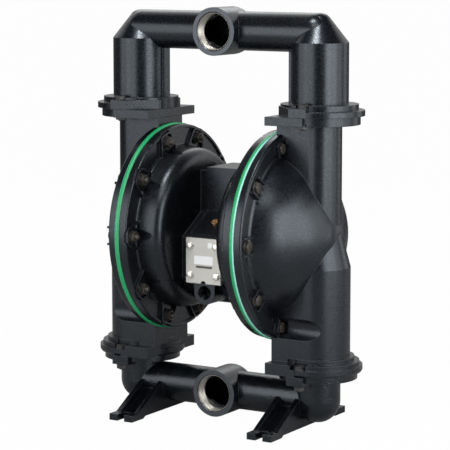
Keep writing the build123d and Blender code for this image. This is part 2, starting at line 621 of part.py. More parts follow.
def fluid_cap():
    """Right-hand fluid cap: dome, rim, two valve columns and their flanges."""
    shape = cap_shell()
    shape += plate_z(column_outline(UPPER_COLUMN_R), DIAPHRAGM_AXIS_Z, TOP_JOINT_Z, x=COLUMN_X)
    shape += lower_column()
    shape += cap_top_flange()
    shape += cap_bottom_flange()
    for rib in cap_rim_ribs():
        shape += rib
    hollow = cap_hollow()
    hollow += cylinder_z(UPPER_PASSAGE_R, DIAPHRAGM_AXIS_Z, TOP_JOINT_Z + 1, x=COLUMN_X)
    ball_z = INLET_SEAT_TOP_Z + BALL_RISE
    lower_bore = cylinder_z(VALVE_BORE_R, BOTTOM_JOINT_Z - 1, DIAPHRAGM_AXIS_Z - TAPER_BOTTOM, x=COLUMN_X)
    for rib in guide_ribs(COLUMN_X, INLET_SEAT_TOP_Z, ball_z + BALL_R + GUIDE_RIB_TOP, VALVE_BORE_R):
        lower_bore -= rib
    lower_bore -= ball_stop(COLUMN_X, ball_z, VALVE_BORE_R)
    holes = [cylinder_x(RIM_BOLT_HOLE_R, CAP_RIM_INNER_X - 1, CAP_RIM_OUTER_X + 1, y=y, z=z)
             for y, z in rim_places()]
    spots = [cylinder_x(BOLT_HEAD_R + SPOT_MARGIN, CAP_RIM_OUTER_X, CAP_RIM_OUTER_X + SPOT_DEPTH, y=y, z=z)
             for y, z in rim_places()]
    for side in (-1, 1):
        bolt_y = side * TOP_BOLT_Y
        nut_z = TOP_JOINT_Z - CAP_TOP_FLANGE_THICK + JOINT_NUT_RECESS
        holes.append(cylinder_z(JOINT_HOLE_R, TOP_JOINT_Z - BIG / 10, TOP_JOINT_Z + 1,
                                x=COLUMN_X + TOP_BOLT_X, y=bolt_y))
        holes.append(cylinder_z(JOINT_HEAD_R + SPOT_MARGIN, nut_z - BIG / 10, nut_z,
                                x=COLUMN_X + TOP_BOLT_X, y=bolt_y))
        holes.append(cylinder_z(JOINT_HOLE_R, BOTTOM_JOINT_Z - 1, BOTTOM_JOINT_Z + BIG / 10,
                                x=COLUMN_X, y=side * BOTTOM_BOLT_Y))
    shape -= spots
    shape -= hollow + lower_bore
    shape -= holes
    return shape - seal_groove(TOP_JOINT_Z - SEAT_SEAL_DEPTH, TOP_JOINT_Z + 1)


# Check valves

def ring_z(outer, inner, z0, z1, x=COLUMN_X):
    return cylinder_z(outer, z0, z1, x=x) - cylinder_z(inner, z0 - 1, z1 + 1, x=x)


def seal_groove(z0, z1):
    return ring_z(SEAT_SEAL_R + SEAT_SEAL_WIDTH / 2, SEAT_SEAL_R - SEAT_SEAL_WIDTH / 2, z0, z1)


def seat(joint_z):
    """Seat ring with a bevelled inner edge that the ball rests on."""
    contact_z = joint_z + SEAT_THICK
    outer_r = VALVE_BORE_R - SEAT_FIT
    points = [(SEAT_BORE_R, joint_z), (outer_r, joint_z), (outer_r, contact_z),
              (SEAT_BORE_R + SEAT_BEVEL, contact_z), (SEAT_BORE_R, contact_z - SEAT_BEVEL)]
    return turned_z(points, x=COLUMN_X)


def seat_seal(joint_z):
    return seal_groove(joint_z - SEAT_SEAL_DEPTH, joint_z)


def ball(joint_z):
    return Pos(COLUMN_X, 0, joint_z + SEAT_THICK + BALL_RISE) * Sphere(BALL_R)


# Air caps

def air_cap():
    """Right-hand air cap: bolted rim, drum-shaped bowl and a flat face towards the middle."""
    shoulder_r = AIR_BOWL_R - AIR_BOWL_TAPER
    lip_x = AIR_RIM_INNER_X - AIR_LIP_HEIGHT
    lip_r = CAP_RIM_R - AIR_LIP_WIDTH
    outside = [(BEAD_INNER_X, 0), (BEAD_INNER_X, CAP_RIM_R), (lip_x, CAP_RIM_R), (lip_x, lip_r),
               (AIR_RIM_INNER_X, lip_r), (AIR_RIM_INNER_X, AIR_BOWL_R),
               (AIR_FACE_X, shoulder_r), (AIR_FACE_X, 0)]
    shape = turned_x(outside, {2: AIR_LIP_WIDTH / 2, 5: CAP_RIM_ROUND, 6: AIR_BOWL_ROUND})
    for y, z in rim_places():
        shape -= cylinder_x(SCALLOP_R, AIR_FACE_X, AIR_RIM_INNER_X, y=y, z=z)
    for angle in RIM_ANGLES:
        shape += horseshoe(angle)
    floor_x = AIR_FACE_X + AIR_WALL
    inside = [(BEAD_INNER_X + 1, 0), (BEAD_INNER_X + 1, AIR_BOWL_R),
              (BEAD_INNER_X - AIR_MOUTH_STEP, AIR_BOWL_R - AIR_MOUTH_STEP),
              (AIR_RIM_INNER_X, AIR_BOWL_R - AIR_WALL), (floor_x, shoulder_r - AIR_WALL), (floor_x, 0)]
    shape -= turned_x(inside, {4: AIR_BOWL_ROUND - AIR_WALL})
    for y, z in rim_places():
        shape += cylinder_x(RIM_BOSS_R, AIR_RIM_INNER_X - RIM_BOSS_THICK, AIR_RIM_INNER_X + 1, y=y, z=z)
        shape -= cylinder_x(RIM_BOLT_HOLE_R, AIR_RIM_INNER_X - RIM_BOSS_THICK - 1, BEAD_INNER_X + 1, y=y, z=z)
    shape -= cylinder_x(BUSHING_R + HOLE_MARGIN, AIR_FACE_X - 1, floor_x + 1, z=DIAPHRAGM_AXIS_Z)
    shape -= cylinder_x(PILOT_BUSHING_R + HOLE_MARGIN, AIR_FACE_X - 1, floor_x + 1, y=PILOT_Y, z=PILOT_Z)
    for y, z in cap_screw_places():
        shape -= cylinder_x(CAP_SCREW_R + SCREW_MARGIN, AIR_FACE_X - 1, floor_x + 1, y=y, z=z)
    return shape


def horseshoe(angle):
    """Raised rib around a nut's outer side, with both ends against the bowl."""
    def outline(half_in, half_out, reach, rounding):
        low = -(AIR_BOWL_R - AIR_WALL / 2)
        high = -(RIM_BOLT_CIRCLE_R + reach)
        points = [(low, -half_in), (high, -half_out), (high, half_out), (low, half_in)]
        return Plane.YZ * profile(points, {1: rounding, 2: rounding})
    wall = HORSESHOE_WALL
    outer = outline(HORSESHOE_HALF_IN, HORSESHOE_HALF_OUT, HORSESHOE_REACH, HORSESHOE_ROUND)
    inner = outline(HORSESHOE_HALF_IN - wall, HORSESHOE_HALF_OUT - wall, HORSESHOE_REACH - wall,
                    HORSESHOE_ROUND - wall)
    rib = extrude(outer, HORSESHOE_TALL + 1) - extrude(inner, HORSESHOE_TALL + 1)
    return Pos(AIR_RIM_INNER_X - HORSESHOE_TALL, 0, DIAPHRAGM_AXIS_Z) * Rot(-angle, 0, 0) * rib


def cap_screw_places():
    return [(y, DIAPHRAGM_AXIS_Z + rise) for y in CAP_SCREW_Y for rise in CAP_SCREW_RISE]


# Diaphragms and what clamps them

def diaphragm():
    middle = (BEAD_OUTER_X + BEAD_INNER_X) / 2
    half = DIAPHRAGM_THICK / 2
    flat_r = WASHER_R + DIAPHRAGM_FLAT_MARGIN
    points = [(BEAD_OUTER_X, BEAD_R), (BEAD_OUTER_X, BEAD_INNER_R), (middle + half, BEAD_INNER_R),
              (DISH_FACE_X, flat_r), (DISH_FACE_X, SCREW_R), (DISH_BACK_X, SCREW_R), (DISH_BACK_X, flat_r),
              (middle - half, BEAD_INNER_R), (BEAD_INNER_X, BEAD_INNER_R), (BEAD_INNER_X, BEAD_R)]
    shape = turned_x(points, {0: BEAD_ROUND, 9: BEAD_ROUND})
    for y, z in rim_places():
        shape -= cylinder_x(RIM_BOLT_HOLE_R, BEAD_INNER_X - 1, BEAD_OUTER_X + 1, y=y, z=z)
    return shape


def fluid_washer():
    end = DISH_FACE_X + FLUID_WASHER_THICK
    points = [(DISH_FACE_X, SCREW_R), (DISH_FACE_X, WASHER_R), (DISH_FACE_X + FLUID_WASHER_EDGE, WASHER_R),
              (end, WASHER_R - FLUID_WASHER_SLOPE), (end, SCREW_R)]
    return turned_x(points, {2: FLUID_WASHER_EDGE_ROUND, 3: FLUID_WASHER_TOP_ROUND})


def air_washer():
    end = AIR_WASHER_BACK_X
    points = [(DISH_BACK_X, SCREW_R), (DISH_BACK_X, WASHER_R), (end, WASHER_R), (end, SCREW_R)]
    return turned_x(points, {2: WASHER_EDGE_ROUND})


def diaphragm_screw():
    head_x = DISH_FACE_X + FLUID_WASHER_THICK
    shank_end = AIR_WASHER_BACK_X - SCREW_DEPTH
    screw = cylinder_x(SCREW_R, shank_end, head_x, z=DIAPHRAGM_AXIS_Z)
    head = Rot(0, 90, 0) * hexagon(SCREW_HEAD_R, SCREW_HEAD_THICK)
    return screw + Pos(head_x, 0, DIAPHRAGM_AXIS_Z) * head


def diaphragm_rod():
    end = AIR_WASHER_BACK_X
    rod = cylinder_x(ROD_R, -end, end, z=DIAPHRAGM_AXIS_Z)
    for side in (-1, 1):
        rod -= cylinder_x(SCREW_R, side * (end - SCREW_DEPTH), side * (end + 1), z=DIAPHRAGM_AXIS_Z)
    return rod


# Centre body and air valve

def body_outline():
    """Side view of the air motor: tall back part, sloping shelf, and the valve chest in front."""
    points = [(BODY_BACK_Y, BODY_BOTTOM_Z), (BODY_BACK_Y, BODY_TOP_Z), (BODY_FRONT_Y, BODY_TOP_Z),
              *shelf_ends(),
              (VALVE_FRONT_Y, VALVE_TOP_Z - VALVE_TOP_CHAMFER), (VALVE_FRONT_Y, VALVE_Z - PLATE_HALF_Z),
              (VALVE_FRONT_Y + BODY_BOTTOM_SETBACK, BODY_BOTTOM_Z)]
    return profile(points)


def shelf_ends():
    """Upper and lower end of the sloping shelf above the valve, as (y, z) points."""
    return (BODY_FRONT_Y, BODY_SLOPE_TOP_Z), (VALVE_FRONT_Y + VALVE_TOP_CHAMFER, VALVE_TOP_Z)


def shelf_ridge():
    """Raised edge along the right-hand side of the sloping shelf."""
    (top_y, top_z), (low_y, low_z) = shelf_ends()
    tall = SHELF_RIDGE_HEIGHT
    points = [(top_y + 1, top_z - 1), (top_y + 1, top_z + tall), (low_y, low_z + tall),
              (low_y - tall / 2, low_z), (low_y, low_z - 1)]
    ridge = extrude(Plane.YZ * profile(points), SHELF_RIDGE_WIDTH)
    return Pos(BODY_HALF_X - SHELF_RIDGE_WIDTH, 0, 0) * ridge


def neck_outline():
    return offset(body_outline(), -NECK_INSET)


def centre_body():
    shape = extrude(Plane.YZ * body_outline(), BODY_HALF_X, both=True)
    shape += extrude(Plane.YZ * neck_outline(), AIR_FACE_X - AIR_GASKET_THICK, both=True)
    for ridge in both_sides(shelf_ridge()):
        shape += ridge
    sump_end = AIR_FACE_X - AIR_GASKET_THICK
    shape += cylinder_x(SUMP_R, -sump_end, sump_end, y=SUMP_Y, z=SUMP_Z)
    boss_top = VALVE_Z - PLATE_HALF_Z - PLATE_BOSS_GAP
    boss = cylinder_y(AIR_INLET_R, AIR_INLET_FACE_Y, 0, z=AIR_INLET_Z)
    boss += block(-AIR_INLET_R, AIR_INLET_R, AIR_INLET_FACE_Y, 0, AIR_INLET_Z, boss_top)
    shape += boss - block(-BIG, BIG, -BIG, VALVE_FRONT_Y, boss_top, BIG)
    bore_end = AIR_INLET_FACE_Y + AIR_INLET_DEPTH
    passage_r = AIR_INLET_BORE_R - AIR_PASSAGE_STEP
    shape -= cylinder_y(AIR_INLET_BORE_R, AIR_INLET_FACE_Y - 1, bore_end, z=AIR_INLET_Z)
    shape -= cylinder_y(passage_r, AIR_INLET_FACE_Y, bore_end + AIR_INLET_DEPTH, z=AIR_INLET_Z)
    shape -= cylinder_x(ROD_R + ROD_CHAMBER_CLEARANCE, -BIG, BIG, z=DIAPHRAGM_AXIS_Z)
    for side in (-1, 1):
        face = side * (AIR_FACE_X - AIR_GASKET_THICK)
        shape -= cylinder_x(BUSHING_R, face, face - side * BUSHING_LENGTH, z=DIAPHRAGM_AXIS_Z)
        shape -= cylinder_x(SEAL_R, face, face - side * SEAL_LENGTH, z=DIAPHRAGM_AXIS_Z)
        shape -= cylinder_x(PILOT_BUSHING_R, face, face - side * PILOT_BUSHING_LENGTH, y=PILOT_Y, z=PILOT_Z)
        for y, z in cap_screw_places():
            shape -= cylinder_x(CAP_SCREW_R, face, face - side * CAP_SCREW_DEPTH, y=y, z=z)
    shape -= cylinder_x(PILOT_R + PILOT_CHAMBER_CLEARANCE, -BIG, BIG, y=PILOT_Y, z=PILOT_Z)
    shape -= cylinder_y(SLEEVE_R, VALVE_FRONT_Y - 1, VALVE_FRONT_Y + SLEEVE_LENGTH, z=VALVE_Z)
    shape -= cylinder_y(EXHAUST_R, BODY_BACK_Y - MUFFLER_NECK, BODY_BACK_Y + 1, z=EXHAUST_Z)
    for x, z in plate_screw_places():
        shape -= cylinder_y(PLATE_SCREW_R, VALVE_FRONT_Y - 1, VALVE_FRONT_Y + PLATE_SCREW_DEPTH, x=x, z=z)
    return shape - ground_screw_hole()


def ground_screw_frame():
    """Frame on the sloping shelf above the valve, with Z out of the metal."""
    (top_y, top_z), (low_y, low_z) = shelf_ends()
    dy = low_y - top_y
    dz = low_z - top_z
    length = sqrt(dy * dy + dz * dz)
    middle = Vector(0, (top_y + low_y) / 2, (top_z + low_z) / 2)
    return Plane(origin=middle, x_dir=(1, 0, 0), z_dir=(0, dz / length, -dy / length)).location


def ground_screw_hole():
    shank = Cylinder(GROUND_SCREW_SHANK_R, GROUND_SCREW_DEPTH)
    return ground_screw_frame() * Pos(0, 0, -GROUND_SCREW_DEPTH / 2) * shank


def ground_screw():
    head = Pos(0, 0, GROUND_SCREW_THICK / 2) * Cylinder(GROUND_SCREW_R, GROUND_SCREW_THICK)
    head -= Pos(0, 0, GROUND_SCREW_THICK) * Box(GROUND_SCREW_R * 3, GROUND_SLOT_WIDTH, 2 * GROUND_SLOT_DEPTH)
    return ground_screw_frame() * head + ground_screw_hole()


def plate_screw_places():
    return [(side * PLATE_SCREW_X, VALVE_Z + end * PLATE_SCREW_Z) for side in (-1, 1) for end in (-1, 1)]


def cover_sheet(y0, y1):
    sheet = block(-PLATE_HALF_X, PLATE_HALF_X, y0, y1, VALVE_Z - PLATE_HALF_Z, VALVE_Z + PLATE_HALF_Z)
    sheet -= cylinder_y(PLATE_NOTCH_R, y0 - 1, y1 + 1, z=VALVE_Z - PLATE_HALF_Z)
    for x, z in plate_screw_places():
        sheet -= cylinder_y(PLATE_SCREW_R, y0 - 1, y1 + 1, x=x, z=z)
    return sheet


def valve_cover_gasket():
    gasket = cover_sheet(VALVE_FRONT_Y - PLATE_GASKET_THICK, VALVE_FRONT_Y)
    return gasket - cylinder_y(SLEEVE_R - PLATE_GASKET_WINDOW_INSET, VALVE_FRONT_Y - BIG, VALVE_FRONT_Y + BIG,
                               z=VALVE_Z)


def valve_cover_plate():
    back = VALVE_FRONT_Y - PLATE_GASKET_THICK
    return cover_sheet(back - PLATE_THICK, back)


def valve_cover_screws():
    front = VALVE_FRONT_Y - PLATE_GASKET_THICK - PLATE_THICK
    screws = []
    for x, z in plate_screw_places():
        screw = cylinder_y(PLATE_SCREW_R, front, VALVE_FRONT_Y + PLATE_SCREW_DEPTH, x=x, z=z)
        screw += cylinder_y(PLATE_SCREW_HEAD_R, front - PLATE_SCREW_HEAD_THICK, front, x=x, z=z)
        socket = Pos(0, 0, -PLATE_SOCKET_DEPTH) * hexagon(PLATE_SOCKET_R, PLATE_SOCKET_DEPTH + 1)
        screws.append(screw - Pos(x, front - PLATE_SCREW_HEAD_THICK, z) * Rot(90, 0, 0) * socket)
    return screws


def valve_sleeve():
    back = VALVE_FRONT_Y + SLEEVE_LENGTH
    sleeve = cylinder_y(SLEEVE_R, VALVE_FRONT_Y, back, z=VALVE_Z)
    sleeve -= cylinder_y(SLEEVE_BORE_R, VALVE_FRONT_Y - 1, back - SLEEVE_END_WALL, z=VALVE_Z)
    for share in SLEEVE_PORT_SHARES:
        sleeve -= cylinder_z(SLEEVE_PORT_R, VALVE_Z, VALVE_Z + BIG, y=VALVE_FRONT_Y + SLEEVE_LENGTH * share)
    return sleeve


def spool_land_places():
    start = VALVE_FRONT_Y + SPOOL_END_GAP
    step = (SPOOL_LENGTH - SPOOL_LAND) / 2
    return [start + index * step for index in range(3)]


def valve_spool():
    start = VALVE_FRONT_Y + SPOOL_END_GAP
    land_r = SLEEVE_BORE_R - SPOOL_CLEARANCE
    spool = cylinder_y(SPOOL_WAIST_R, start, start + SPOOL_LENGTH, z=VALVE_Z)
    for place in spool_land_places():
        spool += cylinder_y(land_r, place, place + SPOOL_LAND, z=VALVE_Z)
        spool -= spool_seal_ring(place, land_r + 1)
    return spool


def spool_seal_ring(place, outer_r):
    middle = place + SPOOL_LAND / 2
    half = SPOOL_SEAL_WIDTH / 2
    inner_r = SLEEVE_BORE_R - SPOOL_CLEARANCE - SPOOL_SEAL_DEPTH
    ring = cylinder_y(outer_r, middle - half, middle + half, z=VALVE_Z)
    return ring - cylinder_y(inner_r, middle - BIG, middle + BIG, z=VALVE_Z)


def spool_seals():
    return [spool_seal_ring(place, SLEEVE_BORE_R - SPOOL_CLEARANCE) for place in spool_land_places()]


def pilot_rod():
    return cylinder_x(PILOT_R, -PILOT_HALF_LENGTH, PILOT_HALF_LENGTH, y=PILOT_Y, z=PILOT_Z)


def pilot_bushing():
    face = AIR_FACE_X - AIR_GASKET_THICK
    bushing = cylinder_x(PILOT_BUSHING_R, face - PILOT_BUSHING_LENGTH, face, y=PILOT_Y, z=PILOT_Z)
    return bushing - cylinder_x(PILOT_R + ROD_RUN_CLEARANCE, 0, BIG, y=PILOT_Y, z=PILOT_Z)


def rod_bushing():
    face = AIR_FACE_X - AIR_GASKET_THICK
    bushing = cylinder_x(BUSHING_R, face - BUSHING_LENGTH, face - SEAL_LENGTH, z=DIAPHRAGM_AXIS_Z)
    return bushing - cylinder_x(ROD_R + ROD_RUN_CLEARANCE, 0, BIG, z=DIAPHRAGM_AXIS_Z)


def rod_seal():
    face = AIR_FACE_X - AIR_GASKET_THICK
    seal = cylinder_x(SEAL_R, face - SEAL_LENGTH, face, z=DIAPHRAGM_AXIS_Z)
    return seal - cylinder_x(ROD_R + ROD_RUN_CLEARANCE, 0, BIG, z=DIAPHRAGM_AXIS_Z)


def air_cap_gasket():
    face = AIR_FACE_X - AIR_GASKET_THICK
    gasket = Pos(face, 0, 0) * extrude(Plane.YZ * neck_outline(), AIR_GASKET_THICK)
    gasket -= cylinder_x(BUSHING_R + HOLE_MARGIN, face - 1, AIR_FACE_X + 1, z=DIAPHRAGM_AXIS_Z)
    gasket -= cylinder_x(PILOT_BUSHING_R + HOLE_MARGIN, face - 1, AIR_FACE_X + 1, y=PILOT_Y, z=PILOT_Z)
    for y, z in cap_screw_places():
        gasket -= cylinder_x(CAP_SCREW_R + SCREW_MARGIN, face - 1, AIR_FACE_X + 1, y=y, z=z)
    return gasket


def muffler():
    """Turned silencer with long slots, screwed into the exhaust at the back."""
    body_start = BODY_BACK_Y
    muffler_body = cylinder_y(MUFFLER_R, body_start, body_start + MUFFLER_LENGTH, z=EXHAUST_Z)
    far_edge = muffler_body.edges().filter_by(GeomType.CIRCLE).sort_by(Axis.Y)[-1]
    muffler_body = fillet(far_edge, MUFFLER_END_ROUND)
    slot = Box(2 * MUFFLER_SLOT_DEPTH, MUFFLER_LENGTH - 2 * MUFFLER_SLOT_MARGIN, MUFFLER_SLOT_WIDTH)
    for index in range(MUFFLER_SLOTS):
        turn = Pos(0, 0, EXHAUST_Z) * Rot(0, 360 / MUFFLER_SLOTS * index, 0)
        middle = body_start + MUFFLER_LENGTH / 2
        muffler_body -= turn * Pos(MUFFLER_R, middle, 0) * slot
    neck = cylinder_y(EXHAUST_R, body_start - MUFFLER_NECK, body_start, z=EXHAUST_Z)
    return muffler_body + neck


# Fasteners

def rim_bolts():
    bolts = []
    shank_end = AIR_RIM_INNER_X - RIM_BOSS_THICK - NUT_THICK - RIM_STUD_REACH
    for y, z in rim_places():
        head = Pos(CAP_RIM_OUTER_X, y, z) * Rot(0, 90, 0) * hexagon(BOLT_HEAD_R, BOLT_HEAD_THICK)
        bolts.append(head + cylinder_x(RIM_BOLT_R, shank_end, CAP_RIM_OUTER_X, y=y, z=z))
    return bolts


def rim_nuts():
    nuts = []
    face = AIR_RIM_INNER_X - RIM_BOSS_THICK
    for y, z in rim_places():
        nut = Pos(face - NUT_THICK, y, z) * Rot(0, 90, 0) * hexagon(BOLT_HEAD_R, NUT_THICK)
        nuts.append(nut - cylinder_x(RIM_BOLT_R, face - BIG, face + BIG, y=y, z=z))
    return nuts


def joint_bolts(head_z, nut_z, x, reach_y):
    """Bolt and nut pairs of a manifold joint, heads on top: a list of bolts and a list of nuts."""
    bolts = []
    nuts = []
    for column in (-x, x):
        for y in (-reach_y, reach_y):
            end = nut_z - JOINT_NUT_THICK - JOINT_STUD_REACH
            bolt = cylinder_z(JOINT_BOLT_R, end, head_z, x=column, y=y)
            bolts.append(bolt + Pos(column, y, head_z) * hexagon(JOINT_HEAD_R, JOINT_HEAD_THICK))
            nut = Pos(column, y, nut_z - JOINT_NUT_THICK) * hexagon(JOINT_HEAD_R, JOINT_NUT_THICK)
            nuts.append(nut - cylinder_z(JOINT_BOLT_R, nut_z - BIG, nut_z + 1, x=column, y=y))
    return bolts, nuts


def air_cap_screws():
    screws = []
    head_x = AIR_FACE_X + AIR_WALL
    end_x = AIR_FACE_X - AIR_GASKET_THICK - CAP_SCREW_DEPTH
    for y, z in cap_screw_places():
        screw = cylinder_x(CAP_SCREW_R, end_x, head_x, y=y, z=z)
        screws.append(screw + cylinder_x(CAP_SCREW_HEAD_R, head_x, head_x + CAP_SCREW_HEAD_THICK, y=y, z=z))
    return screws


# Writing the parts

def write(node, shapes):
    solids = shapes if isinstance(shapes, list) else [shapes]
    loose = [solid for shape in solids for solid in shape.solids()]
    shape = loose[0] if len(loose) == 1 else Compound(children=loose)
    export_step(shape, f"parts/{node}.step")


def write_pair(name, right):
    """Writes the right-hand piece and its mirror image."""
    solids = right if isinstance(right, list) else [right]
    write(f"{name}_right", solids)
    write(f"{name}_left", [mirror(solid, Plane.YZ) for solid in solids])


def main():
    os.makedirs("parts", exist_ok=True)
    write("outlet_manifold", outlet_manifold())
    write("inlet_manifold", inlet_manifold())
    write_pair("fluid_cap", fluid_cap())
    write_pair("air_cap", air_cap())
    write_pair("air_cap_gasket", air_cap_gasket())
    write_pair("air_cap_screws", air_cap_screws())
    write_pair("diaphragm", diaphragm())
    write_pair("fluid_washer", fluid_washer())
    write_pair("air_washer", air_washer())
    write_pair("diaphragm_screw", diaphragm_screw())
    write("diaphragm_rod", diaphragm_rod())
    write_pair("rod_bushing", rod_bushing())
    write_pair("rod_seal", rod_seal())
    write_pair("rim_bolts", rim_bolts())
    write_pair("rim_nuts", rim_nuts())
    write_pair("outlet_seat", seat(TOP_JOINT_Z))
    write_pair("outlet_seat_seal", seat_seal(TOP_JOINT_Z))
    write_pair("outlet_ball", ball(TOP_JOINT_Z))
    write_pair("inlet_seat", seat(BOTTOM_JOINT_Z))
    write_pair("inlet_seat_seal", seat_seal(BOTTOM_JOINT_Z))
    write_pair("inlet_ball", ball(BOTTOM_JOINT_Z))
    write("centre_body", centre_body())
    write("valve_cover_plate", valve_cover_plate())
    write("valve_cover_gasket", valve_cover_gasket())
    write("valve_cover_screws", valve_cover_screws())
    write("valve_sleeve", valve_sleeve())
    write("valve_spool", valve_spool())
    write("spool_seals", spool_seals())
    write("pilot_rod", pilot_rod())
    write("pilot_bushings", both_sides(pilot_bushing()))
    write("ground_screw", ground_screw())
    write("muffler", muffler())
    recess_z = TOP_JOINT_Z - CAP_TOP_FLANGE_THICK + JOINT_NUT_RECESS
    bolts, nuts = joint_bolts(TOP_JOINT_Z + TOP_BLOCK_THICK, recess_z, COLUMN_X + TOP_BOLT_X, TOP_BOLT_Y)
    write("outlet_joint_bolts", bolts)
    write("outlet_joint_nuts", nuts)
    bolts, nuts = joint_bolts(BOTTOM_JOINT_Z + CAP_BOTTOM_LIP_THICK, BOTTOM_JOINT_Z - INLET_BLOCK_THICK,
                              COLUMN_X, BOTTOM_BOLT_Y)
    write("inlet_joint_bolts", bolts)
    write("inlet_joint_nuts", nuts)


main()
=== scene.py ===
import json
import math

import bpy
from mathutils import Matrix, Vector

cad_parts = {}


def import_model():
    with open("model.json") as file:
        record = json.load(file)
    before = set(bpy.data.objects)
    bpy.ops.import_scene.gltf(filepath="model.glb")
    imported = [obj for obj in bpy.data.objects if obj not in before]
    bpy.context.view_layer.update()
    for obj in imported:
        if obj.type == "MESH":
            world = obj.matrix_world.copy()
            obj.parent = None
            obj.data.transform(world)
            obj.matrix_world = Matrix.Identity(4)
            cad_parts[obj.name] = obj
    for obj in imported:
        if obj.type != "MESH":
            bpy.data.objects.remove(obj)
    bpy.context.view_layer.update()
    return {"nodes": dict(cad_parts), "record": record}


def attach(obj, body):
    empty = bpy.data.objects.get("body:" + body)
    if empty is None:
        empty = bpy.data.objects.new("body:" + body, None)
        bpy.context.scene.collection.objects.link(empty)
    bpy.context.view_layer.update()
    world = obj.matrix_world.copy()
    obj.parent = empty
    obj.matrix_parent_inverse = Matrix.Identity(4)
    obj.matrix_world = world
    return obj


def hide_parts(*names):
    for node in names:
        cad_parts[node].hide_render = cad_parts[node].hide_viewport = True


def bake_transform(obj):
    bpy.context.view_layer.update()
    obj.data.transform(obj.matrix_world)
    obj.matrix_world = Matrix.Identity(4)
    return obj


# Lengths are in metres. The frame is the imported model: X along the diaphragm axis, ports towards -Y.

# Camera, solved from the photograph
CAMERA_AZIMUTH = 31.0
CAMERA_ELEVATION = 7.4
CAMERA_DISTANCE = 3.3521
CAMERA_TARGET = (0.0, 0.0, 0.3468)
CAMERA_LENS = 164.45
CAMERA_SHIFT = (-0.0071, -0.0387)

# Backdrop and world
WORLD_STRENGTH = 0.015
BACKDROP_GREY = 0.4
BACKDROP_SIZE = 12.0
BACKDROP_BEND = 2.4
BACKDROP_STEPS = 24
CAMERA_GLOW = 0.985         # share of the backdrop that shows plain white to the camera
REFLECTED_FROM_Z = 3.0      # the backdrop shows fully white in reflections only above this height

# Lamps. Their azimuths count from the camera's, in degrees, and their powers are in watts.
LAMP_TARGET_Z = 0.36
SIDE_BOX_HEIGHT = 0.8
SIDE_BOX_DISTANCE = 2.3
SIDE_BOX_SIZE = (0.9, 1.6)
SIDE_BOXES = ((-80, 10.0), (-56, 15.5), (-33, 14.0), (33, 27.0), (56, 22.0), (80, 10.0), (112, 6.0))
OTHER_BOXES = (             # name, azimuth, height, distance, width, length, power
    ("top_box", -25, 2.5, 0.655, 0.50, 0.50, 24.0),
    ("high_box", 0, 2.3, 1.7, 1.6, 0.7, 16.0),
    ("rear_box", 180, 2.4, 2.8, 2.4, 1.4, 18.0),
)

# Colours of the castings
CAST_BLACK = ((0.0020, 0.0025, 0.0036), (0.0040, 0.0048, 0.0066))
PAINT_SHEEN_TINT = (0.82, 0.91, 1.0)
PAINT_EDGE_RADIUS = 0.0012
PAINT_MOTTLE_SCALE = 38.0
# Painted edge highlight: sharp edges of the castings are lightened in colour.
PAINTED_EDGE_HIGHLIGHT = (2.6, 0.01)     # times the lighter black, plus
PORT_FACE_GREY = (0.036, 0.040, 0.047)
BARE_BORE = (0.38, 0.37, 0.335)
BARE_BORE_METALLIC = 0.75

# Places in the frame that the detail pieces follow
DIAPHRAGM_AXIS_Z = 0.3108
RIM_BOLT_COUNT = 10
RIM_BOLT_CIRCLE_R = 0.150
RIM_HEAD_X = 0.123
RIM_NUT_X = 0.089
RIM_STUD_END_X = 0.0755
PORT_AXES_Z = {"outlet": 0.6348, "inlet": 0.0465}
PORT_FACE_Y = -0.0467
PORT_WALL_R = 0.0296
PORT_THREAD_LENGTH = 0.0208
PORT_THREAD_PITCH = 0.0022
PORT_BORE_END_Y = -0.0187
PORT_BOSS_R = 0.05
PORT_MASK_MARGIN = 0.0002
AIR_INLET_Z = 0.2165
AIR_INLET_FACE_Y = -0.0745
AIR_INLET_WALL_R = 0.0117
AIR_INLET_THREAD_LENGTH = 0.016
AIR_INLET_THREAD_PITCH = 0.0018
TOP_BOLTS = {"x": 0.1704, "y": 0.058, "head_z": 0.52, "nut_z": 0.4954, "end_z": 0.4854}
BOTTOM_BOLTS = {"x": 0.1684, "y": 0.063, "head_z": 0.1068, "nut_z": 0.0813, "end_z": 0.0713}
PLATE_FACE_Y = -0.078
PLATE_SCREWS = {"x": 0.0245, "z": 0.0238, "middle_z": 0.2685, "depth": 0.022}

# Fasteners: apothem of the hexagon, its height with the washer face, radius of the washer face
RIM_HEAD = (0.0081, 0.0065, 0.0099)
RIM_NUT = (0.0081, 0.0085, 0.0099)
JOINT_HEAD = (0.0078, 0.0064, 0.0093)
JOINT_NUT = (0.0078, 0.008, 0.0093)
PLATE_HEAD = (0.0049, 0.0046, 0.0060)
HEAD_WASHER = ((1.0, 0.0), (1.0, 0.0009), (0.95, 0.0013))       # share of the washer's radius, height
NUT_WASHER = ((1.0, 0.0), (1.0, 0.0010), (0.96, 0.0013))
HEAD_BASE_Z = 0.001         # the hexagons start inside their washer faces
NUT_BASE_Z = 0.0012
NUT_BORE_R = 0.0052
NUT_BORE_CHAMFER = (1.12, 0.0007)       # share of the bore's radius, depth
STUD_R = 0.005
PLATE_SCREW_R = 0.003
RIM_THREADED = 0.014
JOINT_THREADED = 0.012
PLATE_THREADED = 0.016
STUD_PITCH = 0.0015
STUD_ROOT = 0.86            # share of the stud's radius at the bottom of its thread
STUD_POINT = ((0.84, 0.0008), (0.66, 0.0))      # share of the radius, distance from the end
CORNER_CHAMFER_R = 0.94     # share of the apothem where the chamfer of the corners starts
CORNER_CHAMFER_DEGREES = 28
HEX_STEPS = 48
SHANK_SUNK = 0.0005         # how far a shank reaches into its head
RIM_SPIN = 0.9              # radians from one rim bolt to the next, so that they stand at various angles
RIM_SPIN_RIGHT = 0.4
JOINT_SPIN = (0.3, 0.5)     # first angle, radians from one bolt to the next
PLATE_SPIN = (0.35, 0.8)

